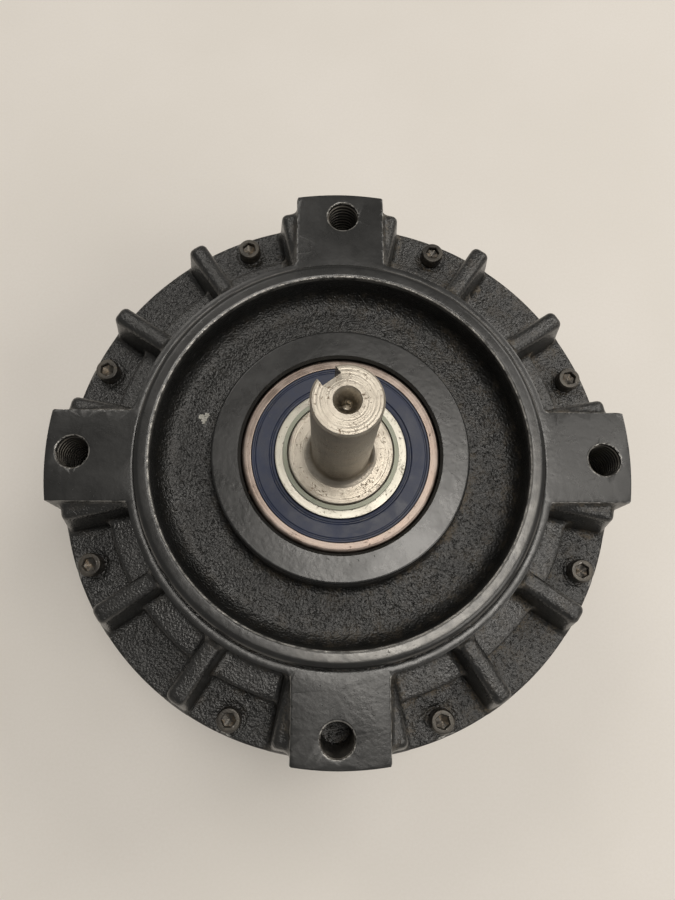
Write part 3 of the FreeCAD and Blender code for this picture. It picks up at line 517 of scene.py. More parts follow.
def recipes(sizes: "Sizes") -> dict[Finish, Enamel | Metal | Moulded]:
    """The finish of each material slot.

    Args:
        sizes: shared sizes, for the places of the paint chips.

    Returns:
        A recipe for each finish.
    """
    floor = sizes.recess_floor * MM
    chips = ((-0.0408, 0.0131, floor, 0.00085), (-0.0393, 0.0136, floor, 0.0007),
             (-0.0401, 0.0124, floor, 0.0009), (-0.0401, 0.0113, floor, 0.00045))
    return {
        Finish.HOUSING: Enamel("housing_enamel", chips=chips),
        Finish.GASKET: Moulded("gasket_fibre", (0.05, 0.05, 0.048, 1), (0.08, 0.078, 0.07, 1)),
        # Black oxide: the light brown film fills the socket floors partly as dirt and partly as painted light standing
        # in for the light on them.
        Finish.OXIDE: Metal("black_oxide_steel", (0.055, 0.052, 0.048, 1), (0.095, 0.087, 0.075, 1),
                            freckle=(0.17, 0.125, 0.08, 1), metallic=0.75, roughness=(0.30, 0.45), freckles=0.35,
                            wear=0.3, film=1.0),
        Finish.ZINC: Metal("zinc_plated_steel", (0.48, 0.47, 0.44, 1), (0.60, 0.58, 0.52, 1)),
        Finish.TARNISHED: Metal("tarnished_bearing_ring", (0.20, 0.158, 0.134, 1), (0.33, 0.275, 0.24, 1),
                                freckle=(0.10, 0.06, 0.04, 1), roughness=(0.30, 0.46), freckles=0.4, turned=0.5),
        Finish.BEARING: Metal("bearing_ring_steel", (0.42, 0.40, 0.35, 1), (0.54, 0.52, 0.45, 1), freckle=(0.16, 0.13, 0.09, 1),
                              freckles=0.55, roughness=(0.34, 0.48), film=0.2, turned=0.5),
        Finish.SEAL: Moulded("blue_seal_rubber", (0.006, 0.012, 0.036, 1), (0.014, 0.022, 0.055, 1),
                             dirt=(0.075, 0.075, 0.075, 1), roughness=(0.36, 0.55), specks=0.25),
        Finish.BALL: Metal("polished_balls", (0.66, 0.66, 0.66, 1), (0.74, 0.74, 0.73, 1), roughness=(0.08, 0.15),
                           freckles=0.0),
        Finish.CAGE: Metal("pressed_cage_steel", (0.45, 0.43, 0.40, 1), (0.55, 0.53, 0.50, 1)),
        Finish.RING: Metal("spring_ring_steel", (0.19, 0.20, 0.165, 1), (0.26, 0.27, 0.22, 1), roughness=(0.4, 0.55)),
        Finish.SHAFT: Metal("ground_shaft_steel", (0.31, 0.28, 0.235, 1), (0.49, 0.45, 0.385, 1),
                            freckle=(0.23, 0.165, 0.11, 1), roughness=(0.30, 0.44), freckles=0.52,
                            ring_depth=0.000018, film=0.1, turned=0.4),
        Finish.MACHINED: Metal("machined_steel", (0.40, 0.39, 0.37, 1), (0.50, 0.49, 0.46, 1)),
        Finish.SPRING: Metal("blued_spring_steel", (0.16, 0.18, 0.22, 1), (0.26, 0.26, 0.28, 1)),
        Finish.LINING: Moulded("friction_lining", (0.10, 0.07, 0.045, 1), (0.17, 0.12, 0.07, 1), specks=0.5),
        Finish.BOBBIN: Moulded("bobbin_nylon", (0.55, 0.50, 0.40, 1), (0.62, 0.57, 0.46, 1)),
        Finish.COPPER: Metal("enamelled_copper", (0.50, 0.20, 0.08, 1), (0.62, 0.27, 0.11, 1), rings=9000.0,
                             ring_depth=0.00005),
        Finish.TERMINAL: Moulded("terminal_phenolic", (0.02, 0.02, 0.02, 1), (0.035, 0.033, 0.03, 1)),
        Finish.BRASS: Metal("terminal_brass", (0.60, 0.42, 0.16, 1), (0.70, 0.50, 0.22, 1)),
        Finish.GROMMET: Moulded("grommet_rubber", (0.015, 0.015, 0.015, 1), (0.03, 0.03, 0.03, 1)),
        Finish.INSULATION: Moulded("lead_insulation", (0.35, 0.02, 0.015, 1), (0.42, 0.03, 0.02, 1)),
    }


# ---- shared sizes ----------------------------------------------------------------------------
@dataclass(frozen=True)
class Sizes:
    """Heights and radii in millimetres that more than one sub-assembly needs, read from the frame."""

    hub_top: float
    flange_r: float
    skirt_low: float
    tip: float
    shaft_r: float = 7.9375
    register_height: float = 4.1
    recess_depth: float = 9.0
    flange_drop: float = 20.0
    flange_thickness: float = 9.0
    cast_turn: float = 0.65

    @property
    def face(self) -> float:
        """Height of the machined output face."""
        return self.hub_top - self.register_height

    @property
    def recess_floor(self) -> float:
        """Height of the recess floor."""
        return self.face - self.recess_depth

    @property
    def flange_top(self) -> float:
        """Height of the flange that the housing screws pull down."""
        return self.face - self.flange_drop

    @property
    def split(self) -> float:
        """Height of the joint face between the two housings."""
        return self.flange_top - self.flange_thickness

    @classmethod
    def from_frame(cls) -> "Sizes":
        """Read the sizes off the CAD nodes."""
        low, high = (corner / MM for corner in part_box("output_housing"))
        return cls(hub_top=high.z, flange_r=high.x, skirt_low=low.z, tip=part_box("output_shaft")[1].z / MM)


# ---- meshes ----------------------------------------------------------------------------------
def rounded_profile(corners: Sequence[Corner], steps: int = 4, closed: bool = True, margin: float = 0.35) -> np.ndarray:
    """Points along an outline whose corners are rounded.

    Args:
        corners: (radius, z) or (radius, z, rounding) of each corner, in order.
        steps: chords in each rounded corner.
        closed: whether the last corner joins the first.
        margin: distance from a rounded corner to the extra point that keeps the flat beside it flat.

    Returns:
        An array of (radius, z).
    """
    plain = np.array([corner[:2] for corner in corners], float)
    points: list[np.ndarray] = []
    count = len(plain)
    for index, corner in enumerate(corners):
        here = plain[index]
        rounding = corner[2] if len(corner) > 2 else 0.0
        if not rounding or (not closed and index in (0, count - 1)):
            points.append(here)
            continue
        back, ahead = plain[index - 1] - here, plain[(index + 1) % count] - here
        spans = np.linalg.norm(back), np.linalg.norm(ahead)
        back, ahead = back / spans[0], ahead / spans[1]
        half = math.acos(float(np.clip(back @ ahead, -1, 1))) / 2
        reach = rounding / math.tan(half)
        bisector = (back + ahead) / np.linalg.norm(back + ahead)
        centre = here + bisector * rounding / math.sin(half)
        start, end = here + back * reach - centre, here + ahead * reach - centre
        sweep = math.pi - 2 * half
        if spans[0] > reach + 3 * margin:
            points.append(here + back * (reach + margin))
        for step in range(steps + 1):
            share = step / steps
            points.append(centre + (start * math.sin((1 - share) * sweep) + end * math.sin(share * sweep))
                          / math.sin(sweep))
        if spans[1] > reach + 3 * margin:
            points.append(here + ahead * (reach + margin))
    return np.array(points)


@dataclass
class Shell:
    """Collects surfaces in millimetres and turns them into one object in metres."""

    verts: list[np.ndarray] = field(default_factory=list)
    faces: list[tuple[int, ...]] = field(default_factory=list)
    count: int = 0

    def add(self, verts: np.ndarray, faces: Sequence[Sequence[int]]) -> None:
        """Add vertices and the faces between them."""
        self.faces += [tuple(corner + self.count for corner in face) for face in faces]
        self.verts.append(np.asarray(verts, float).reshape(-1, 3))
        self.count += len(self.verts[-1])

    def lathe(self, profile: np.ndarray, segments: int = 128, closed: bool = True, x: float = 0.0,
              y: float = 0.0) -> None:
        """Turn a (radius, z) outline about an upright axis through (x, y)."""
        turn = np.arange(segments) * 2 * math.pi / segments
        rows = len(profile)
        ring = profile[:, None, 0]
        verts = np.stack([x + ring * np.cos(turn), y + ring * np.sin(turn),
                          np.repeat(profile[:, 1:2], segments, 1)], -1)
        faces = []
        for row in range(rows if closed else rows - 1):
            low, high = row * segments, (row + 1) % rows * segments
            faces += [(low + s, low + (s + 1) % segments, high + (s + 1) % segments, high + s)
                      for s in range(segments)]
        self.add(verts, faces)

    def prism(self, outline: np.ndarray, low: float, high: float) -> None:
        """Add an upright prism on a closed (x, y) outline."""
        count = len(outline)
        verts = np.concatenate([np.column_stack([outline, np.full(count, z)]) for z in (low, high)])
        sides = [(k, (k + 1) % count, count + (k + 1) % count, count + k) for k in range(count)]
        self.add(verts, [tuple(range(count))[::-1], tuple(range(count, 2 * count)), *sides])

    def build(self, name: str, crease: float = 35.0, outward: bool = True) -> bpy.types.Object:
        """Weld the surfaces into one object.

        Args:
            name: the object's name.
            crease: edges that turn by more degrees than this are drawn sharp.
            outward: whether to turn the faces of closed shells outwards.

        Returns:
            The object, at the origin.
        """
        mesh = bpy.data.meshes.new(name)
        mesh.from_pydata((np.concatenate(self.verts) * MM).tolist(), [], self.faces)
        work = bmesh.new()
        work.from_mesh(mesh)
        bmesh.ops.remove_doubles(work, verts=work.verts, dist=0.002 * MM)
        bmesh.ops.dissolve_degenerate(work, edges=work.edges, dist=0.0005 * MM)
        if outward:
            bmesh.ops.recalc_face_normals(work, faces=work.faces)
        work.to_mesh(mesh)
        work.free()
        return finish_mesh(name, mesh, crease)


def finish_mesh(name: str, mesh: bpy.types.Mesh, crease: float) -> bpy.types.Object:
    """Make a smooth-shaded object of a mesh, with its shading weighted towards large faces."""
    mesh.shade_smooth()
    mesh.set_sharp_from_angle(angle=math.radians(crease))
    piece = bpy.data.objects.new(name, mesh)
    bpy.context.scene.collection.objects.link(piece)
    weighted = piece.modifiers.new("level_shading", "WEIGHTED_NORMAL")
    weighted.keep_sharp = True
    weighted.weight = 70
    return bake_modifiers(piece)


def bake_modifiers(piece: bpy.types.Object) -> bpy.types.Object:
    """Turn the evaluated result of an object's modifiers into its plain mesh."""
    bpy.context.view_layer.update()
    graph = bpy.context.evaluated_depsgraph_get()
    mesh = bpy.data.meshes.new_from_object(piece.evaluated_get(graph))
    mesh.name = piece.name
    piece.modifiers.clear()
    piece.data = mesh
    return piece


def vertex_array(mesh: bpy.types.Mesh, what: str = "co") -> np.ndarray:
    """Positions in metres, or normals, of a mesh's vertices as rows of three."""
    values = np.empty(len(mesh.vertices) * 3, np.float32)
    if what == "co":
        mesh.vertices.foreach_get("co", values)
    else:
        mesh.vertex_normals.foreach_get("vector", values)
    return values.reshape(-1, 3).astype(float)


def level_shading(piece: bpy.types.Object, crease: float) -> None:
    """Shade a piece by its largest faces, with hard edges over crease degrees, so that flats look flat."""
    piece.data.shade_smooth()
    piece.data.set_sharp_from_angle(angle=math.radians(crease))
    weighted = piece.modifiers.new("level_shading", "WEIGHTED_NORMAL")
    weighted.keep_sharp = True
    weighted.weight = 90
    bake_modifiers(piece)


def store(mesh: bpy.types.Mesh, name: str, values: np.ndarray) -> None:
    """Write one float for each vertex as a named attribute."""
    attribute = mesh.attributes.get(name) or mesh.attributes.new(name, "FLOAT", "POINT")
    attribute.data.foreach_set("value", np.clip(values, 0, 1).astype(np.float32))


def mark_curvature(mesh: bpy.types.Mesh, spread: int = 2) -> None:
    """Store how far each vertex is on an outside edge (convex) or in a corner (concave)."""
    place, normal = vertex_array(mesh) / MM, vertex_array(mesh, "normal")
    ends = np.empty(len(mesh.edges) * 2, np.int32)
    mesh.edges.foreach_get("vertices", ends)
    first, second = ends.reshape(-1, 2).T
    step = place[second] - place[first]
    bend = ((normal[second] - normal[first]) * step).sum(1) / np.maximum((step ** 2).sum(1), 0.04)
    outside, inside = np.zeros(len(place)), np.zeros(len(place))
    for end in (first, second):
        np.maximum.at(outside, end, bend)
        np.maximum.at(inside, end, -bend)
    degree = np.bincount(first, minlength=len(place)) + np.bincount(second, minlength=len(place))
    for _ in range(spread):
        total = np.zeros(len(place))
        np.add.at(total, first, inside[second])
        np.add.at(total, second, inside[first])
        inside = 0.5 * inside + 0.5 * total / np.maximum(degree, 1)
    store(mesh, "convex", (outside - 0.25) / 1.4)
    store(mesh, "concave", (inside - 0.04) / 0.35)


class LatticeNoise:
    """Smooth random relief on a repeating lattice, the same on each run."""

    def __init__(self, seed: int, cells: int = 48) -> None:
        """Draw the lattice's values from the seed."""
        self.cells = cells
        self.values = np.random.default_rng(seed).uniform(-1, 1, (cells, cells, cells))

    def at(self, points: np.ndarray, size: float) -> np.ndarray:
        """Value from -1 to 1 at each point, for lumps of about that size."""
        scaled = points / size
        base = np.floor(scaled).astype(int)
        share = scaled - base
        share = share * share * (3 - 2 * share)
        total = np.zeros(len(points))
        for corner in range(8):
            pick = np.array([corner >> axis & 1 for axis in range(3)])
            weight = np.prod(np.where(pick, share, 1 - share), axis=1)
            x, y, z = ((base + pick) % self.cells).T
            total += weight * self.values[x, y, z]
        return total


# ---- geometry nodes --------------------------------------------------------------------------
def geometry_tree(name: str, inputs: dict[str, str]) -> tuple[Graph, dict, bpy.types.Node]:
    """Start a geometry node tree.

    Args:
        name: the tree's name.
        inputs: socket type of each named input.

    Returns:
        The graph, the input sockets by name, and the output node.
    """
    tree = bpy.data.node_groups.new(name, "GeometryNodeTree")
    for label, kind in inputs.items():
        tree.interface.new_socket(label, in_out="INPUT", socket_type=kind)
    tree.interface.new_socket("Geometry", in_out="OUTPUT", socket_type="NodeSocketGeometry")
    graph = Graph(tree)
    entry = graph.add("NodeGroupInput")
    return graph, {label: entry.outputs[label] for label in inputs}, graph.add("NodeGroupOutput")


def grow(name: str, tree: bpy.types.NodeTree, values: dict[str, object]) -> bpy.types.Object:
    """Run a geometry node tree and keep its result as a plain object.

    Args:
        name: the new object's name.
        tree: the tree to run.
        values: a value for each named input.

    Returns:
        The object, with no modifier left on it.
    """
    holder = bpy.data.objects.new(name, bpy.data.meshes.new(name))
    bpy.context.scene.collection.objects.link(holder)
    modifier = holder.modifiers.new(tree.name, "NODES")
    modifier.node_group = tree
    sockets = {item.name: item.identifier for item in tree.interface.items_tree if item.in_out == "INPUT"}
    for label, value in values.items():
        modifier[sockets[label]] = value
    return bake_modifiers(holder)


class Growers:
    """The geometry node trees that repeat pieces."""

    def __init__(self) -> None:
        """Build each tree once."""
        self.ring = self._ring()
        self.helix = self._helix()

    @staticmethod
    def _finish(graph: Graph, geometry: bpy.types.NodeSocket, sockets: dict, out: bpy.types.Node) -> None:
        """End a tree in Realize Instances, a weld and Set Material."""
        real = graph.add("GeometryNodeRealizeInstances", {"Geometry": geometry})
        weld = graph.add("GeometryNodeMergeByDistance", {"Geometry": real.outputs[0], "Distance": sockets["Weld"]})
        done = graph.add("GeometryNodeSetMaterial", {"Geometry": weld.outputs[0], "Material": sockets["Finish"]})
        graph.tree.links.new(done.outputs[0], out.inputs[0])

    @classmethod
    def _ring(cls) -> bpy.types.NodeTree:
        """Copies of a piece, evenly spaced about the shaft's axis."""
        graph, sockets, out = geometry_tree("RoundTheAxis", {
            "Piece": "NodeSocketObject", "Count": "NodeSocketInt", "Start": "NodeSocketFloat",
            "Sweep": "NodeSocketFloat", "Weld": "NodeSocketFloat", "Finish": "NodeSocketMaterial"})
        points = graph.add("GeometryNodePoints", {"Count": sockets["Count"]})
        index = graph.add("GeometryNodeInputIndex").outputs[0]
        pitch = graph.math("DIVIDE", sockets["Sweep"], sockets["Count"])
        angle = graph.math("ADD", graph.math("MULTIPLY", index, pitch), sockets["Start"])
        turn = graph.add("ShaderNodeCombineXYZ", {2: angle})
        piece = graph.add("GeometryNodeObjectInfo", {"Object": sockets["Piece"]})
        copies = graph.add("GeometryNodeInstanceOnPoints", {"Points": points.outputs[0],
                                                            "Instance": piece.outputs["Geometry"],
                                                            "Rotation": turn.outputs[0]})
        cls._finish(graph, copies.outputs[0], sockets, out)
        return graph.tree

    @classmethod
    def _helix(cls) -> bpy.types.NodeTree:
        """Ridge of a screw thread along a helix, at evenly spaced places on a circle about the shaft's axis."""
        graph, sockets, out = geometry_tree("ThreadRidge", {
            "Radius": "NodeSocketFloat", "Pitch": "NodeSocketFloat", "Turns": "NodeSocketFloat",
            "Low": "NodeSocketFloat", "Circle": "NodeSocketFloat", "Count": "NodeSocketInt",
            "Depth": "NodeSocketFloat", "Weld": "NodeSocketFloat", "Finish": "NodeSocketMaterial"})
        length = graph.math("MULTIPLY", sockets["Pitch"], sockets["Turns"])
        spiral = graph.add("GeometryNodeCurveSpiral", {
            "Resolution": 28, "Rotations": sockets["Turns"], "Start Radius": sockets["Radius"],
            "End Radius": sockets["Radius"], "Height": length})
        upright = graph.add("GeometryNodeSetCurveNormal", {"Curve": spiral.outputs[0]}, mode="Z_UP")
        triangle = graph.add("GeometryNodeCurvePrimitiveCircle", {"Resolution": 3, "Radius": sockets["Depth"]})
        section = graph.add("GeometryNodeTransform", {"Geometry": triangle.outputs["Curve"],
                                                      "Rotation": (0.0, 0.0, math.pi)})
        ridge = graph.add("GeometryNodeCurveToMesh", {"Curve": upright.outputs[0],
                                                      "Profile Curve": section.outputs[0],
                                                      "Fill Caps": True})
        circle = graph.add("GeometryNodeMeshCircle", {"Vertices": sockets["Count"], "Radius": sockets["Circle"]})
        lift = graph.add("ShaderNodeCombineXYZ", {2: sockets["Low"]})
        places = graph.add("GeometryNodeSetPosition", {"Geometry": circle.outputs[0], "Offset": lift.outputs[0]})
        copies = graph.add("GeometryNodeInstanceOnPoints", {"Points": places.outputs[0],
                                                            "Instance": ridge.outputs[0]})
        cls._finish(graph, copies.outputs[0], sockets, out)
        return graph.tree

    def round_the_axis(self, name: str, piece: bpy.types.Object, count: int, start: float,
                       material: bpy.types.Material | None = None, weld: float = 0.0,
                       sweep: float = 360.0) -> bpy.types.Object:
        """Repeat a piece about the shaft's axis and remove the single one.

        Args:
            name: the new object's name.
            piece: the single piece, already in place on the start side.
            count: how many copies.
            start: turn of the first copy, in degrees.
            material: what the copies are made of.
            weld: distance in millimetres within which copies join.
            sweep: angle in degrees that the copies are spread over.

        Returns:
            The repeated pieces as one plain object.
        """
        made = grow(name, self.ring, {"Piece": piece, "Count": count, "Start": math.radians(start),
                                      "Sweep": math.radians(sweep), "Weld": weld * MM, "Finish": material})
        bpy.data.objects.remove(piece)
        return made


# ---- cast shapes from distance fields --------------------------------------------------------
def fillet_union(first: np.ndarray, second: np.ndarray, radius: float) -> np.ndarray:
    """Distance to two shapes joined with a round fillet."""
    a, b = np.maximum(radius - first, 0), np.maximum(radius - second, 0)
    return np.maximum(radius, np.minimum(first, second)) - np.hypot(a, b)


def round_common(first: np.ndarray, second: np.ndarray, radius: float) -> np.ndarray:
    """Distance to what two shapes share, with a round edge."""
    return -fillet_union(-first, -second, radius)


Field = Callable[[np.ndarray, np.ndarray, np.ndarray], np.ndarray]


@dataclass
class PolarNet:
    """Wraps a surface round a distance field, on a grid in radius, angle and height."""

    radii: np.ndarray
    heights: np.ndarray
    columns: int
    sweep: float

    def mesh(self, shape: Field) -> tuple[np.ndarray, np.ndarray]:
        """Surface of the field's zero level.

        Args:
            shape: distance at x, y, z in millimetres, negative inside, repeating with the sweep.

        Returns:
            Vertices in millimetres and faces of four corners that point outwards.
        """
        turn = math.radians(self.sweep) / self.columns
        radius, angle, height = np.meshgrid(self.radii, np.arange(self.columns) * turn, self.heights, indexing="ij")
        value = shape(radius * np.cos(angle), radius * np.sin(angle), height)
        wide = np.concatenate([value, value[:, :1]], 1)
        shape_of_cells = tuple(np.array(wide.shape) - 1)
        total, hits = np.zeros(shape_of_cells + (3,)), np.zeros(shape_of_cells)
        for axis in range(3):
            low = wide.take(range(wide.shape[axis] - 1), axis)
            high = wide.take(range(1, wide.shape[axis]), axis)
            crossed = (low < 0) != (high < 0)
            share = np.where(crossed, low / np.where(crossed, low - high, 1), 0)
            others = [a for a in range(3) if a != axis]
            for pick in ((0, 0), (0, 1), (1, 0), (1, 1)):
                window = [slice(None)] * 3
                offset = np.zeros(3)
                for other, side in zip(others, pick):
                    window[other] = slice(side, side + shape_of_cells[other])
                    offset[other] = side
                found, part = crossed[tuple(window)], share[tuple(window)]
                hits += found
                total += found[..., None] * offset
                total[..., axis] += part * found
        used = hits > 0
        cell_r, cell_t, cell_z = np.nonzero(used)
        local = total[used] / hits[used][:, None]
        ring = self.radii[cell_r] + local[:, 0] * np.diff(self.radii)[cell_r]
        around = (cell_t + local[:, 1]) * turn
        up = self.heights[cell_z] + local[:, 2] * np.diff(self.heights)[cell_z]
        points = np.column_stack([ring * np.cos(around), ring * np.sin(around), up])
        points = self._settle(points, shape)
        index = np.full(shape_of_cells, -1)
        index[used] = np.arange(len(points))
        last = cell_t == self.columns - 1
        back = math.radians(-self.sweep)
        ghost_turn = np.array([[math.cos(back), math.sin(back), 0], [-math.sin(back), math.cos(back), 0], [0, 0, 1]])
        ghosts = points[last] @ ghost_turn
        ghost_index = np.full((shape_of_cells[0], 1, shape_of_cells[2]), -1)
        ghost_index[cell_r[last], 0, cell_z[last]] = len(points) + np.arange(len(ghosts))
        index = np.concatenate([ghost_index, index], 1)
        return np.concatenate([points, ghosts]), self._quads(value, index)

    @staticmethod
    def _settle(points: np.ndarray, shape: Field, rounds: int = 3, step: float = 0.02) -> np.ndarray:
        """Move points along the field's slope onto its zero level."""
        for _ in range(rounds):
            value = shape(*points.T)
            slope = np.column_stack([
                shape(*(points + step * axis).T) - shape(*(points - step * axis).T) for axis in np.eye(3)])
            slope /= 2 * step
            points = points - (value / np.maximum((slope ** 2).sum(1), 0.2))[:, None] * slope
        return points

    @staticmethod
    def _quads(value: np.ndarray, index: np.ndarray) -> np.ndarray:
        """One face round each grid edge that the surface crosses; index has a ghost column in front."""
        faces = []
        inside = value < 0
        rings, columns, levels = value.shape
        spans = (slice(1, rings - 1), slice(0, columns), slice(1, levels - 1))
        for axis in range(3):
            if axis == 1:
                after = np.concatenate([inside[:, 1:], inside[:, :1]], 1)
                low, high = inside, after
                window = [spans[0], slice(0, columns), spans[2]]
            else:
                low = inside.take(range(value.shape[axis] - 1), axis)
                high = inside.take(range(1, value.shape[axis]), axis)
                window = list(spans)
                window[axis] = slice(0, value.shape[axis] - 1)
            starts = [part.start for part in window]
            place = np.nonzero((low != high)[tuple(window)])
            base = [found + start for found, start in zip(place, starts)]
            outward = low[tuple(base)]
            first, second = {0: (1, 2), 1: (2, 0), 2: (0, 1)}[axis]
            corners = []
            for da, db in ((-1, -1), (0, -1), (0, 0), (-1, 0)):
                cell = [part.copy() for part in base]
                cell[first] += da
                cell[second] += db
                cell[1] += 1
                corners.append(index[tuple(cell)])
            quads = np.stack(corners, 1)
            quads[~outward] = quads[~outward][:, ::-1]
            faces.append(quads)
        quads = np.concatenate(faces)
        return quads[(quads >= 0).all(1)]


# ---- sub-assemblies --------------------------------------------------------------------------
@dataclass
class EndBell:
    """The output housing: register, recess, bearing hub, sixteen ribs and four tapped pads."""

    sizes: Sizes
    register_r: float = 57.15
    crown_at: float = 54.7
    crown_r: float = 24.0
    shoulder_r: float = 2.0
    relief_r: float = 57.75
    relief_depth: float = 0.9
    band_r: float = 60.0
    shelf_r: float = 69.0
    shelf_drop: float = 13.0
    recess_r: float = 52.5
    hub_r: float = 35.6
    bearing_r: float = 27.5
    lip_r: float = 24.8
    pad_half: float = 13.1
    pad_r: float = 82.0
    rib_top_drop: float = 2.0
    rib_half: tuple[float, float] = (2.65, 3.7)
    rib_end: tuple[float, float] = (78.6, 82.4)
    bolt_circle_r: float = 74.6125
    tap_r: float = 4.6
    tap_depth: float = 22.0
    screw_circle_r: float = 78.1
    screw_hole_r: float = 2.3
    seat_r: float = 4.5
    spigot: tuple[float, float] = (68.0, 73.4)
    roof_drop: float = 15.0
    seam_r: float = 48.0
    cell: float = 0.5
    triangles: int = 185000

    def shape(self, x: np.ndarray, y: np.ndarray, z: np.ndarray) -> np.ndarray:
        """Distance to the casting outside the seam, in millimetres, negative inside."""
        s = self.sizes
        face = s.face
        radius, angle = np.hypot(x, y), np.degrees(np.arctan2(y, x))
        body = fillet_union(z - s.flange_top, round_common(
            radius - self.shelf_r - 0.06 * (face - self.shelf_drop - z), z - face + self.shelf_drop, 1.0), 1.4)
        wall = radius - self.band_r - 0.05 * (face - z)
        body = fillet_union(body, wall, 1.8)
        body = fillet_union(body, self._pad(radius, angle - s.cast_turn, z), 1.5)
        body = fillet_union(body, self._rib(radius, angle - s.cast_turn, z), 1.7)
        body = round_common(body, self._machined(radius, z), 0.32)
        hollow = round_common(radius - self.recess_r + 0.05 * (s.hub_top - z), s.recess_floor - z, 5.0)
        body = round_common(body, -hollow, 0.3)
        body = round_common(body, radius - s.flange_r, 0.4)
        body = np.maximum(body, -self._holes(x, y, z))
        return np.maximum(body, self._underside(radius, z))

    def _pad(self, radius: np.ndarray, angle: np.ndarray, z: np.ndarray) -> np.ndarray:
        """The tapped pad of each quarter."""
        local = np.radians((angle + 45) % 90 - 45)
        draft = 0.035 * (self.sizes.face - z)
        side = np.abs(radius * np.sin(local)) - self.pad_half - draft
        front = 40.0 - radius * np.cos(local)
        return np.maximum(round_common(side, radius - self.pad_r - 0.2 * draft, 0.35), front)

    def _rib(self, radius: np.ndarray, angle: np.ndarray, z: np.ndarray) -> np.ndarray:
        """The nearest of the ribs: drafted sides, round ridge, and a sloping round nose."""
        local = np.radians(angle % 22.5 - 11.25)
        out, side = radius * np.cos(local), radius * np.sin(local)
        top = self.sizes.face - self.rib_top_drop
        fall = (top - z) / (top - self.sizes.flange_top)
        half = self.rib_half[0] + (self.rib_half[1] - self.rib_half[0]) * fall
        end = self.rib_end[0] + (self.rib_end[1] - self.rib_end[0]) * fall
        ridge = round_common(np.abs(side) - half, z - top - 0.04 * (66 - out), 1.9)
        nose = 0.95 * (out - end)
        return np.maximum(round_common(ridge, nose, 1.7), 50.0 - out)

    def _machined(self, radius: np.ndarray, z: np.ndarray) -> np.ndarray:
        """What the lathe leaves: the output face, the relief groove and the register."""
        s = self.sizes
        crown = np.hypot(radius - self.crown_at, z - s.hub_top + self.crown_r) - self.crown_r
        register = round_common(radius - self.register_r, crown, self.shoulder_r)
        level = np.minimum(z - s.face, register)
        groove = np.maximum(np.maximum(self.register_r - radius, radius - self.relief_r),
                            s.face - self.relief_depth - z)
        return np.maximum(level, -groove)

    def _holes(self, x: np.ndarray, y: np.ndarray, z: np.ndarray) -> np.ndarray:
        """The tapped hole and its countersink, and the screw seats and holes."""
        s = self.sizes
        radius, angle = np.hypot(x, y), np.degrees(np.arctan2(y, x))
        tap = np.radians((angle + 45) % 90 - 45)
        off = np.hypot(radius * np.cos(tap) - self.bolt_circle_r, radius * np.sin(tap))
        drilled = np.maximum(off - self.tap_r, s.face - self.tap_depth - z)
        mouth = 0.707 * (off - self.tap_r - 0.15 + (s.face - z))
        screw = np.radians(angle % 45 - 22.5)
        away = np.hypot(radius * np.cos(screw) - self.screw_circle_r, radius * np.sin(screw))
        seat = np.maximum(away - self.seat_r, s.flange_top - 0.3 - z)
        return np.minimum(np.minimum(drilled, mouth), np.minimum(seat, away - self.screw_hole_r))

    def _underside(self, radius: np.ndarray, z: np.ndarray) -> np.ndarray:
        """The joint face, the spigot that centres the input housing, and the cavity roof."""
        s = self.sizes
        inside = (radius > self.spigot[0]) & (radius < self.spigot[1])
        edge = np.minimum(np.abs(radius - self.spigot[0]), np.abs(radius - self.spigot[1]))
        above = np.where(inside, s.skirt_low - z, s.split - z)
        below = np.where(inside, np.maximum(s.skirt_low - z, -edge), edge)
        step = np.where(z < s.split, below, above)
        cavity = round_common(radius - self.spigot[0] + 13.0 + 0.6 * (z - s.split), z - s.face + self.roof_drop, 4.0)
        return np.maximum(step, -cavity)

    def cast_skin(self, place: np.ndarray) -> np.ndarray:
        """How rough the surface is at each point, from 0 where machined or smooth to 1 where left as cast.

        Args:
            place: points in millimetres.

        Returns:
            One value for each point.
        """
        s = self.sizes
        radius, z = np.hypot(place[:, 0], place[:, 1]), place[:, 2]
        rough = np.ones(len(place))
        rough[z > s.flange_top + 1.0] = 0.5
        rough[(z > s.face - self.shelf_drop + 1.0) & (radius > self.band_r)] = 0.45
        rough[(np.abs(z - s.face) < 0.4) & (radius > self.register_r - 1)] = 0.0
        rough[(radius > self.recess_r + 0.1) & (radius < self.register_r + 1) & (z > s.face + 0.5)] = 0.0
        recess = (radius > self.hub_r + 0.4) & (radius <= self.recess_r + 1) & (z < s.face + 0.5) & (z > s.face - 12)
        rough[recess] = 1.0
        rough[(radius <= self.hub_r + 0.4)] = 0.0
        rough[radius > s.flange_r - 0.45] = 0.0
        rough[(radius > self.pad_r - 0.5) & (z > s.flange_top + 2)] = 0.15
        rough[z < s.split + 0.3] = 0.0
        return rough

    def build(self, growers: Growers) -> bpy.types.Object:
        """Make the whole casting as one closed mesh."""
        quarter = self._quarter()
        ring = growers.round_the_axis("end_bell_ring", quarter, 4, 0.0, weld=0.004)
        work = bmesh.new()
        work.from_mesh(ring.data)
        bpy.data.objects.remove(ring)
        self._add_centre(work)
        mesh = bpy.data.meshes.new("output_housing_casting")
        work.to_mesh(mesh)
        work.free()
        self._roughen(mesh)
        piece = bpy.data.objects.new("output_housing_casting", mesh)
        bpy.context.scene.collection.objects.link(piece)
        thin = piece.modifiers.new("thin", "DECIMATE")
        mesh.calc_loop_triangles()
        thin.ratio = min(1.0, self.triangles / len(mesh.loop_triangles))
        bake_modifiers(piece)
        store(piece.data, "cast", self.cast_skin(vertex_array(piece.data) / MM))
        mark_curvature(piece.data)
        level_shading(piece, crease=40)
        return piece

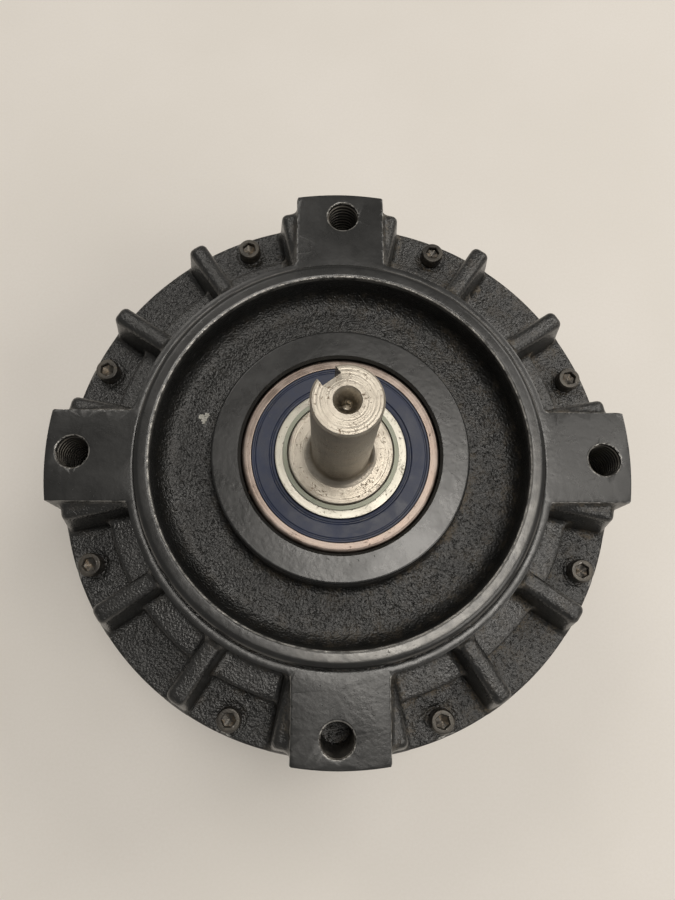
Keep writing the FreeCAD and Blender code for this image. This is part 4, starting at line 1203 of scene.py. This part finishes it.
    def _quarter(self) -> bpy.types.Object:
        """One quarter of the casting outside the seam."""
        s = self.sizes
        radii = np.arange(self.seam_r, s.flange_r + 1.0, self.cell) + 0.13
        low = np.arange(s.skirt_low - 1.43, s.flange_top - 1.0, 2 * self.cell)
        heights = np.concatenate([low, np.arange(low[-1] + self.cell, s.hub_top + 1.0, self.cell)])
        net = PolarNet(radii, heights, columns=180, sweep=90.0)
        verts, faces = net.mesh(self.shape)
        mesh = bpy.data.meshes.new("quarter")
        mesh.from_pydata((verts * MM).tolist(), [], faces.tolist())
        quarter = bpy.data.objects.new("quarter", mesh)
        bpy.context.scene.collection.objects.link(quarter)
        return quarter

    def _add_centre(self, work: bmesh.types.BMesh) -> None:
        """Turn the hub and the floor inside the seam, and join them to the ring at both seams."""
        s = self.sizes
        floor, roof = s.recess_floor, s.face - self.roof_drop
        hub_low = roof - 15.0
        lip_top = s.face + 3.2 - 13.0
        top = [(self.seam_r - 0.7, floor)] + [(r, floor) for r in np.arange(self.seam_r - 1.7, self.hub_r + 4, -1.0)]
        outline = rounded_profile([
            *top, (self.hub_r + 0.5, floor, 2.4), (self.hub_r, s.hub_top, 0.7),
            (self.bearing_r + 0.75, s.hub_top), (self.bearing_r, s.hub_top - 0.75), (self.bearing_r, lip_top),
            (self.lip_r, lip_top), (self.lip_r, lip_top - 5.0), (self.bearing_r, lip_top - 5.0),
            (self.bearing_r, hub_low), (self.hub_r - 2.1, hub_low), (self.hub_r - 1.6, roof, 2.5),
            (self.seam_r - 0.7, roof)], steps=5, closed=False)
        segments = 300
        turn = np.arange(segments) * 2 * math.pi / segments
        rows = [[work.verts.new((r * math.cos(t) * MM, r * math.sin(t) * MM, z * MM)) for t in turn]
                for r, z in outline]
        for low, high in zip(rows, rows[1:]):
            for k in range(segments):
                work.faces.new((low[k], high[k], high[(k + 1) % segments], low[(k + 1) % segments]))
        middle = (floor + roof) / 2 * MM
        rim = [edge for edge in work.edges if edge.is_boundary
               and edge.verts[0].co.xy.length < (self.seam_r + 1.5) * MM]
        for upper in (True, False):
            bmesh.ops.bridge_loops(work, edges=[edge for edge in rim if (edge.verts[0].co.z > middle) == upper])
        bmesh.ops.recalc_face_normals(work, faces=work.faces)

    def _roughen(self, mesh: bpy.types.Mesh) -> None:
        """Push the as-cast skin in and out by a few hundredths of a millimetre."""
        place = vertex_array(mesh) / MM
        normal = vertex_array(mesh, "normal")
        skin = self.cast_skin(place)
        noise = LatticeNoise(7)
        relief = 0.10 * noise.at(place, 6.0) + 0.05 * noise.at(place + 31.0, 2.4) + 0.03 * noise.at(place, 1.25)
        lump = np.exp(-((place[:, 0] + 43.0) ** 2 + (place[:, 1] + 14.0) ** 2) / 7.0) * (skin > 0.9)
        relief += lump * (0.25 + 0.5 * noise.at(place + 11.0, 1.3))
        place += normal * (relief * skin)[:, None]
        mesh.vertices.foreach_set("co", (place * MM).astype(np.float32).ravel())
        mesh.update()


@dataclass
class TappedThreads:
    """The screw threads in the four tapped pads."""

    sizes: Sizes
    minor_r: float = 3.97
    pitch: float = 1.5875
    ridge: float = 0.92
    turns: float = 12.5
    circle_r: float = 74.6125

    def build(self, growers: Growers) -> bpy.types.Object:
        """Make the ridges of all four holes."""
        low = self.sizes.face - 1.0 - self.pitch * self.turns
        return grow("output_housing_threads", growers.helix, {
            "Radius": (self.minor_r + self.ridge) * MM, "Pitch": self.pitch * MM, "Turns": self.turns,
            "Low": low * MM, "Circle": self.circle_r * MM, "Count": 4, "Depth": self.ridge * MM, "Weld": 0.0})


@dataclass
class SocketScrews:
    """The eight socket-head screws round the flange."""

    sizes: Sizes
    circle_r: float = 78.1
    head_r: float = 3.43
    head_height: float = 4.17
    across_flats: float = 3.57
    socket_depth: float = 1.5
    shank_r: float = 2.05
    grip: float = 17.0
    teeth: int = 44

    def single(self) -> bpy.types.Object:
        """One screw, on the circle at angle zero."""
        low = self.sizes.flange_top - 0.3
        high = low + self.head_height
        shell = Shell()
        profile = rounded_profile([
            (0.0, low - self.grip), (self.shank_r - 0.4, low - self.grip), (self.shank_r, low - self.grip + 0.5),
            (self.shank_r, low), (self.head_r - 0.25, low), (self.head_r, low + 0.3, 0.1),
            (self.head_r, high - 0.5, 0.15), (self.head_r - 0.36, high, 0.16), (2.35, high)], steps=3, closed=False)
        segments = self.teeth * 4
        shell.lathe(profile, segments, closed=False)
        verts = shell.verts[0]
        radius = np.hypot(verts[:, 0], verts[:, 1])
        knurled = (radius > self.head_r - 0.05) & (verts[:, 2] > low + 0.2) & (verts[:, 2] < high - 0.48)
        wave = 1 - 0.014 * np.maximum(np.cos(np.arctan2(verts[:, 1], verts[:, 0]) * self.teeth), -0.4) * knurled
        verts[:, 0] *= wave
        verts[:, 1] *= wave
        self._socket(shell, high, segments)
        screw = shell.build("screw")
        screw.data.transform(Matrix.Translation((self.circle_r * MM, 0, 0)) @ Matrix.Rotation(0.35, 4, "Z"))
        mark_curvature(screw.data)
        return screw

    def _socket(self, shell: Shell, high: float, segments: int) -> None:
        """The hexagonal socket, from the head's flat down to a drilled cone."""
        turn = np.arange(segments) * 2 * math.pi / segments
        half = self.across_flats / 2
        flat = half / np.cos((turn + math.pi / 6) % (math.pi / 3) - math.pi / 6)
        rows = [(np.full(segments, 2.35), high), (np.minimum(flat + 0.22, 2.3), high), (flat, high - 0.22),
                (flat, high - 0.6), (flat, high - self.socket_depth), (np.full(segments, half * 0.96),
                high - self.socket_depth - 0.05), (np.full(segments, 0.01), high - self.socket_depth - 0.7)]
        verts = np.concatenate([np.column_stack([r * np.cos(turn), r * np.sin(turn), np.full(segments, z)])
                                for r, z in rows])
        faces = [(row * segments + k, row * segments + (k + 1) % segments, (row + 1) * segments
                  + (k + 1) % segments, (row + 1) * segments + k)
                 for row in range(len(rows) - 1) for k in range(segments)]
        faces.append(tuple(range((len(rows) - 1) * segments, len(rows) * segments)))
        shell.add(verts, faces)

    def build(self, growers: Growers) -> bpy.types.Object:
        """Make all eight."""
        return growers.round_the_axis("housing_screw_set", self.single(), 8, 22.5)


@dataclass
class OutputBearing:
    """The sealed ball bearing in the hub: both rings and the two seals."""

    low: float
    high: float
    bore_r: float = 15.0
    outer_r: float = 27.5
    lands: tuple[float, float] = (18.14, 24.6)
    chamfer: float = 1.25

    def outer_ring(self) -> bpy.types.Object:
        """The outer ring, with rounded corners and the seal's groove."""
        race = (self.low + self.high) / 2
        shell = Shell()
        shell.lathe(rounded_profile([
            (self.lands[1], self.high, 0.15), (self.lands[1], race + 3.2), (self.lands[1] + 1.0, race),
            (self.lands[1], race - 3.2), (self.lands[1], self.low, 0.15), (self.outer_r, self.low, self.chamfer),
            (self.outer_r, self.high, self.chamfer)], steps=6), 256)
        return self._done(shell, "output_bearing_outer")

    def inner_ring(self) -> bpy.types.Object:
        """The inner ring."""
        race = (self.low + self.high) / 2
        shell = Shell()
        shell.lathe(rounded_profile([
            (self.bore_r, self.low, 0.5), (self.lands[0], self.low, 0.15), (self.lands[0], race - 3.2),
            (self.lands[0] - 1.0, race), (self.lands[0], race + 3.2), (self.lands[0], self.high, 0.15),
            (self.bore_r, self.high, 0.35)], steps=4), 256)
        return self._done(shell, "output_bearing_inner")

    def seals(self) -> bpy.types.Object:
        """Both rubber seals: a bead in the outer ring, a dished web, and a lip on the inner ring."""
        inner, outer = self.lands[0] + 0.12, self.lands[1] - 0.03
        shell = Shell()
        for face, way in ((self.high, -1.0), (self.low, 1.0)):
            section = [
                (inner, 0.95, 0.1), (inner + 0.15, 0.45, 0.1), (inner + 0.75, 0.32, 0.15), (inner + 0.95, 0.62, 0.1),
                (inner + 1.25, 0.62, 0.1), (inner + 1.5, 0.26, 0.2), (outer - 1.3, 0.20, 0.2),
                (outer - 1.05, 0.42, 0.1), (outer - 0.8, 0.42, 0.1), (outer - 0.6, 0.16, 0.15),
                (outer - 0.12, 0.16, 0.1), (outer, 0.4, 0.1), (outer, 1.5), (inner + 0.3, 1.5)]
            shell.lathe(rounded_profile([(r, face + way * depth, *rest) for r, depth, *rest in section], steps=3,
                                        margin=0.2), 256)
        return self._done(shell, "output_bearing_seal_pair")

    @staticmethod
    def _done(shell: Shell, name: str) -> bpy.types.Object:
        """Weld a shell and mark its edges."""
        piece = shell.build(name, crease=50)
        mark_curvature(piece.data)
        return piece


@dataclass
class OutputShaft:
    """The output shaft: keyed extension, root fillet, journal, shoulder and hub seat."""

    sizes: Sizes
    low: float
    journal_r: float = 15.0
    journal_step: float = 4.6
    shoulder_r: float = 17.3
    hub_seat_r: float = 11.0
    keyway: tuple[float, float, float] = (4.76, 2.4, 35.8)
    keyway_angle: float = 127.0
    centre_r: float = 3.0
    pilot_r: float = 1.25

    def build(self) -> bpy.types.Object:
        """Make the shaft with its keyway cut by a boolean."""
        s = self.sizes
        end = s.face + self.journal_step
        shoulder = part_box("rear_bearing_inner_ring")[0].z / MM
        cone = self.centre_r / math.tan(math.radians(30))
        shell = Shell()
        shell.lathe(rounded_profile([
            (0.0, self.low), (self.hub_seat_r - 0.6, self.low), (self.hub_seat_r, self.low + 0.6),
            (self.hub_seat_r, shoulder - 3.0), (self.shoulder_r, shoulder - 3.0, 0.4), (self.shoulder_r, shoulder, 0.4),
            (self.journal_r, shoulder), (self.journal_r, end - 1.5), (self.journal_r - 0.55, end - 1.5),
            (self.journal_r - 0.55, end, 0.45), (s.shaft_r, end, 2.6), (s.shaft_r, s.tip - 0.45, 0.15),
            (s.shaft_r - 0.45, s.tip, 0.15), (self.centre_r + 0.15, s.tip, 0.1), (self.centre_r - 0.1, s.tip - 0.25),
            (self.pilot_r, s.tip - cone + self.pilot_r * 1.73), (self.pilot_r, s.tip - 7.3), (0.0, s.tip - 8.0)],
            steps=6, closed=False), 192, closed=False)
        shaft = shell.build("output_shaft_turned", crease=40)
        cutter = self._keyway_cutter()
        cut = shaft.modifiers.new("keyway", "BOOLEAN")
        cut.object = cutter
        cut.operation = "DIFFERENCE"
        cut.solver = "EXACT"
        bevel = shaft.modifiers.new("deburr", "BEVEL")
        bevel.width = 0.12 * MM
        bevel.segments = 2
        bevel.limit_method = "ANGLE"
        bevel.angle_limit = math.radians(50)
        bake_modifiers(shaft)
        bpy.data.objects.remove(cutter)
        level_shading(shaft, crease=35)
        mark_curvature(shaft.data)
        return shaft

    def _keyway_cutter(self) -> bpy.types.Object:
        """The space of the milled keyway, with its round end."""
        width, depth, length = self.keyway
        s = self.sizes
        half = width / 2
        run_out = s.tip - length + half
        turn = np.linspace(math.pi, 2 * math.pi, 13)
        outline = [(half * math.cos(t), run_out + half * math.sin(t)) for t in turn]
        outline += [(half, s.tip + 2.0), (-half, s.tip + 2.0)]
        count = len(outline)
        verts = [(radius, side, z) for radius in (s.shaft_r - depth, s.shaft_r + 3.0) for side, z in outline]
        faces = [tuple(range(count)), tuple(range(count, 2 * count))[::-1]]
        faces += [(k, (k + 1) % count, count + (k + 1) % count, count + k) for k in range(count)]
        shell = Shell()
        shell.add(np.array(verts), faces)
        cutter = shell.build("keyway_cutter")
        cutter.data.transform(Matrix.Rotation(math.radians(self.keyway_angle), 4, "Z"))
        return cutter


@dataclass
class SpiralRing:
    """The two-turn retaining ring on the journal."""

    low: float
    inner_r: float = 14.72
    outer_r: float = 15.95
    thickness: float = 1.05
    gap_at: float = 252.0

    def build(self) -> bpy.types.Object:
        """Make the ring as a flat helix of two turns."""
        steps = 360
        turn = np.linspace(0, 2 * 2 * math.pi * 0.985, steps)
        half = self.thickness / 2
        rise = half * np.clip((turn - 0.9 * 2 * math.pi) / (0.2 * 2 * math.pi), 0, 1)
        corners = [(self.inner_r + 0.06, 0.0), (self.outer_r - 0.06, 0.0), (self.outer_r, 0.06),
                   (self.outer_r, half - 0.07), (self.outer_r - 0.06, half - 0.01), (self.inner_r + 0.06, half - 0.01),
                   (self.inner_r, half - 0.07), (self.inner_r, 0.06)]
        count = len(corners)
        verts = [(r * math.cos(t), r * math.sin(t), self.low + z + up) for t, up in zip(turn, rise)
                 for r, z in corners]
        faces = [(row * count + k, row * count + (k + 1) % count, (row + 1) * count + (k + 1) % count,
                  (row + 1) * count + k) for row in range(steps - 1) for k in range(count)]
        faces += [tuple(range(count))[::-1], tuple(range((steps - 1) * count, steps * count))]
        shell = Shell()
        shell.add(np.array(verts), faces)
        ring = shell.build("shaft_spiral_ring", crease=40)
        ring.data.transform(Matrix.Rotation(math.radians(self.gap_at), 4, "Z"))
        mark_curvature(ring.data)
        return ring


# ---- studio ----------------------------------------------------------------------------------
@dataclass
class Studio:
    """Pale floor, soft lights and the camera."""

    sizes: Sizes
    lens: float = 28.0
    camera_place: tuple[float, float, float] = (-5.09, -43.4, 190.9)
    camera_turn: tuple[float, float, float] = (-13.25, 1.43, -0.63)

    def build(self, effects: Effects) -> None:
        """Make the floor, the world, the lights and the camera."""
        self._floor(effects)
        self._world()
        self._panel("overhead_panel", (0.13, 0.06, 1.0), 1.6, (0.54, 0.42), 9.6)
        self._panel("right_panel", (0.47, 0.20, 1.0), 2.2, (0.50, 0.56), 2.6)
        self._panel("window_panel", (0.95, 0.75, 1.0), 2.4, (1.0, 0.9), 4.4)
        self._panel("low_panel", (0.9, -0.6, 1.0), 2.4, (1.3, 1.1), 3.0)
        self._panel("rim_panel", (-0.42, 0.72, 1.0), 1.6, (0.5, 0.45), 4.0, diffuse=0.1)
        self._camera()

    def _floor(self, effects: Effects) -> None:
        """A wide plane under the motor-side face."""
        size = 3.0
        mesh = bpy.data.meshes.new("floor")
        mesh.from_pydata([(-size, -size, 0), (size, -size, 0), (size, size, 0), (-size, size, 0)], [], [(0, 1, 2, 3)])
        floor = bpy.data.objects.new("floor", mesh)
        bpy.context.scene.collection.objects.link(floor)
        material, graph, shader, place = principled("laminate_floor", Roughness=0.6)
        cloud = graph.remap(graph.noise(place, 9.0, 4.0), 0.3, 0.7)
        fine = graph.noise(place, 900.0, 2.0)
        tone = graph.mix(cloud, (0.80, 0.765, 0.715, 1), (0.84, 0.805, 0.76, 1))
        tone = graph.mix(graph.remap(fine, 0.2, 0.8, (0.0, 0.25)), tone, (0.74, 0.70, 0.64, 1))
        graph.tree.links.new(tone, shader.inputs["Base Color"])
        floor.data.materials.append(material)

    @staticmethod
    def _world() -> None:
        """Even warm fill light."""
        world = bpy.data.worlds.new("studio")
        world.use_nodes = True
        background = world.node_tree.nodes["Background"]
        background.inputs[0].default_value = (1.0, 0.965, 0.915, 1)
        background.inputs[1].default_value = 0.24
        bpy.context.scene.world = world
        bpy.context.scene.view_settings.view_transform = "Standard"

    @staticmethod
    def _panel(name: str, way: tuple[float, float, float], distance: float, size: tuple[float, float],
               radiance: float, diffuse: float = 1.0) -> None:
        """One soft rectangular light that points at the clutch.

        Args:
            name: the light's name.
            way: direction from the clutch to the light.
            distance: how far away it is, in metres.
            size: its width and height, in metres.
            radiance: how bright its surface is.
            diffuse: its share in diffuse light.
        """
        lamp = bpy.data.lights.new(name, "AREA")
        lamp.shape = "RECTANGLE"
        lamp.size, lamp.size_y = size
        lamp.energy = radiance * math.pi * size[0] * size[1]
        lamp.color = (1.0, 0.955, 0.89)
        lamp.diffuse_factor = diffuse
        light = bpy.data.objects.new(name, lamp)
        direction = Vector(way).normalized()
        light.location = Vector((0, 0, 0.08)) + direction * distance
        light.rotation_euler = direction.to_track_quat("Z", "Y").to_euler()
        bpy.context.scene.collection.objects.link(light)

    def _camera(self) -> None:
        """The camera above the output shaft, looking a little up the face."""
        lens = bpy.data.cameras.new("camera")
        lens.lens = self.lens
        lens.sensor_width = 36.0
        lens.clip_start = 0.005
        camera = bpy.data.objects.new("camera", lens)
        pitch, yaw, roll = (math.radians(angle) for angle in self.camera_turn)
        to_view = Matrix.Rotation(pitch, 3, "X") @ Matrix.Rotation(yaw, 3, "Y") @ Matrix.Rotation(roll, 3, "Z")
        place = Vector(self.camera_place) + Vector((0, 0, self.sizes.face))
        camera.matrix_world = Matrix.Translation(place * MM) @ to_view.transposed().to_4x4()
        bpy.context.scene.collection.objects.link(camera)
        bpy.context.scene.camera = camera


# ---- assembly --------------------------------------------------------------------------------
def place(piece: bpy.types.Object, body: str, *nodes: str) -> None:
    """Let a new piece ride on a body and stand for CAD nodes, and log it."""
    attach(piece, body)
    if nodes:
        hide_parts(*nodes)
    LOG.info("%s: %d vertices on %s, for %s", piece.name, len(piece.data.vertices), body, ", ".join(nodes) or "-")


def main() -> None:
    """Build the whole visual model in order."""
    logging.basicConfig(level=logging.INFO, format="%(name)s %(message)s", stream=sys.stdout)
    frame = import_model()
    sizes = Sizes.from_frame()
    effects = Effects()
    growers = Growers()
    shop = Paintshop(effects, recipes(sizes))
    shop.dress_frame(frame)
    Studio(sizes).build(effects)

    bell = shop.dress(EndBell(sizes).build(growers), Finish.HOUSING)
    place(bell, "housing", "output_housing")
    threads = shop.dress(TappedThreads(sizes).build(growers), Finish.OXIDE)
    place(threads, "housing")
    screws = shop.dress(SocketScrews(sizes).build(growers), Finish.OXIDE)
    place(screws, "housing", "housing_screws")

    low, high = (corner.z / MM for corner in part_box("output_bearing_outer_ring"))
    bearing = OutputBearing(low, high)
    place(shop.dress(bearing.outer_ring(), Finish.TARNISHED), "housing", "output_bearing_outer_ring")
    place(shop.dress(bearing.seals(), Finish.SEAL), "housing", "output_bearing_seals")
    place(shop.dress(bearing.inner_ring(), Finish.BEARING), "output_shaft", "output_bearing_inner_ring")
    shaft = OutputShaft(sizes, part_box("output_shaft")[0].z / MM)
    place(shop.dress(shaft.build(), Finish.SHAFT), "output_shaft", "output_shaft")
    ring = SpiralRing(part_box("shaft_retaining_ring")[0].z / MM)
    place(shop.dress(ring.build(), Finish.RING), "output_shaft", "shaft_retaining_ring")


if __name__ == "__main__":
    main()
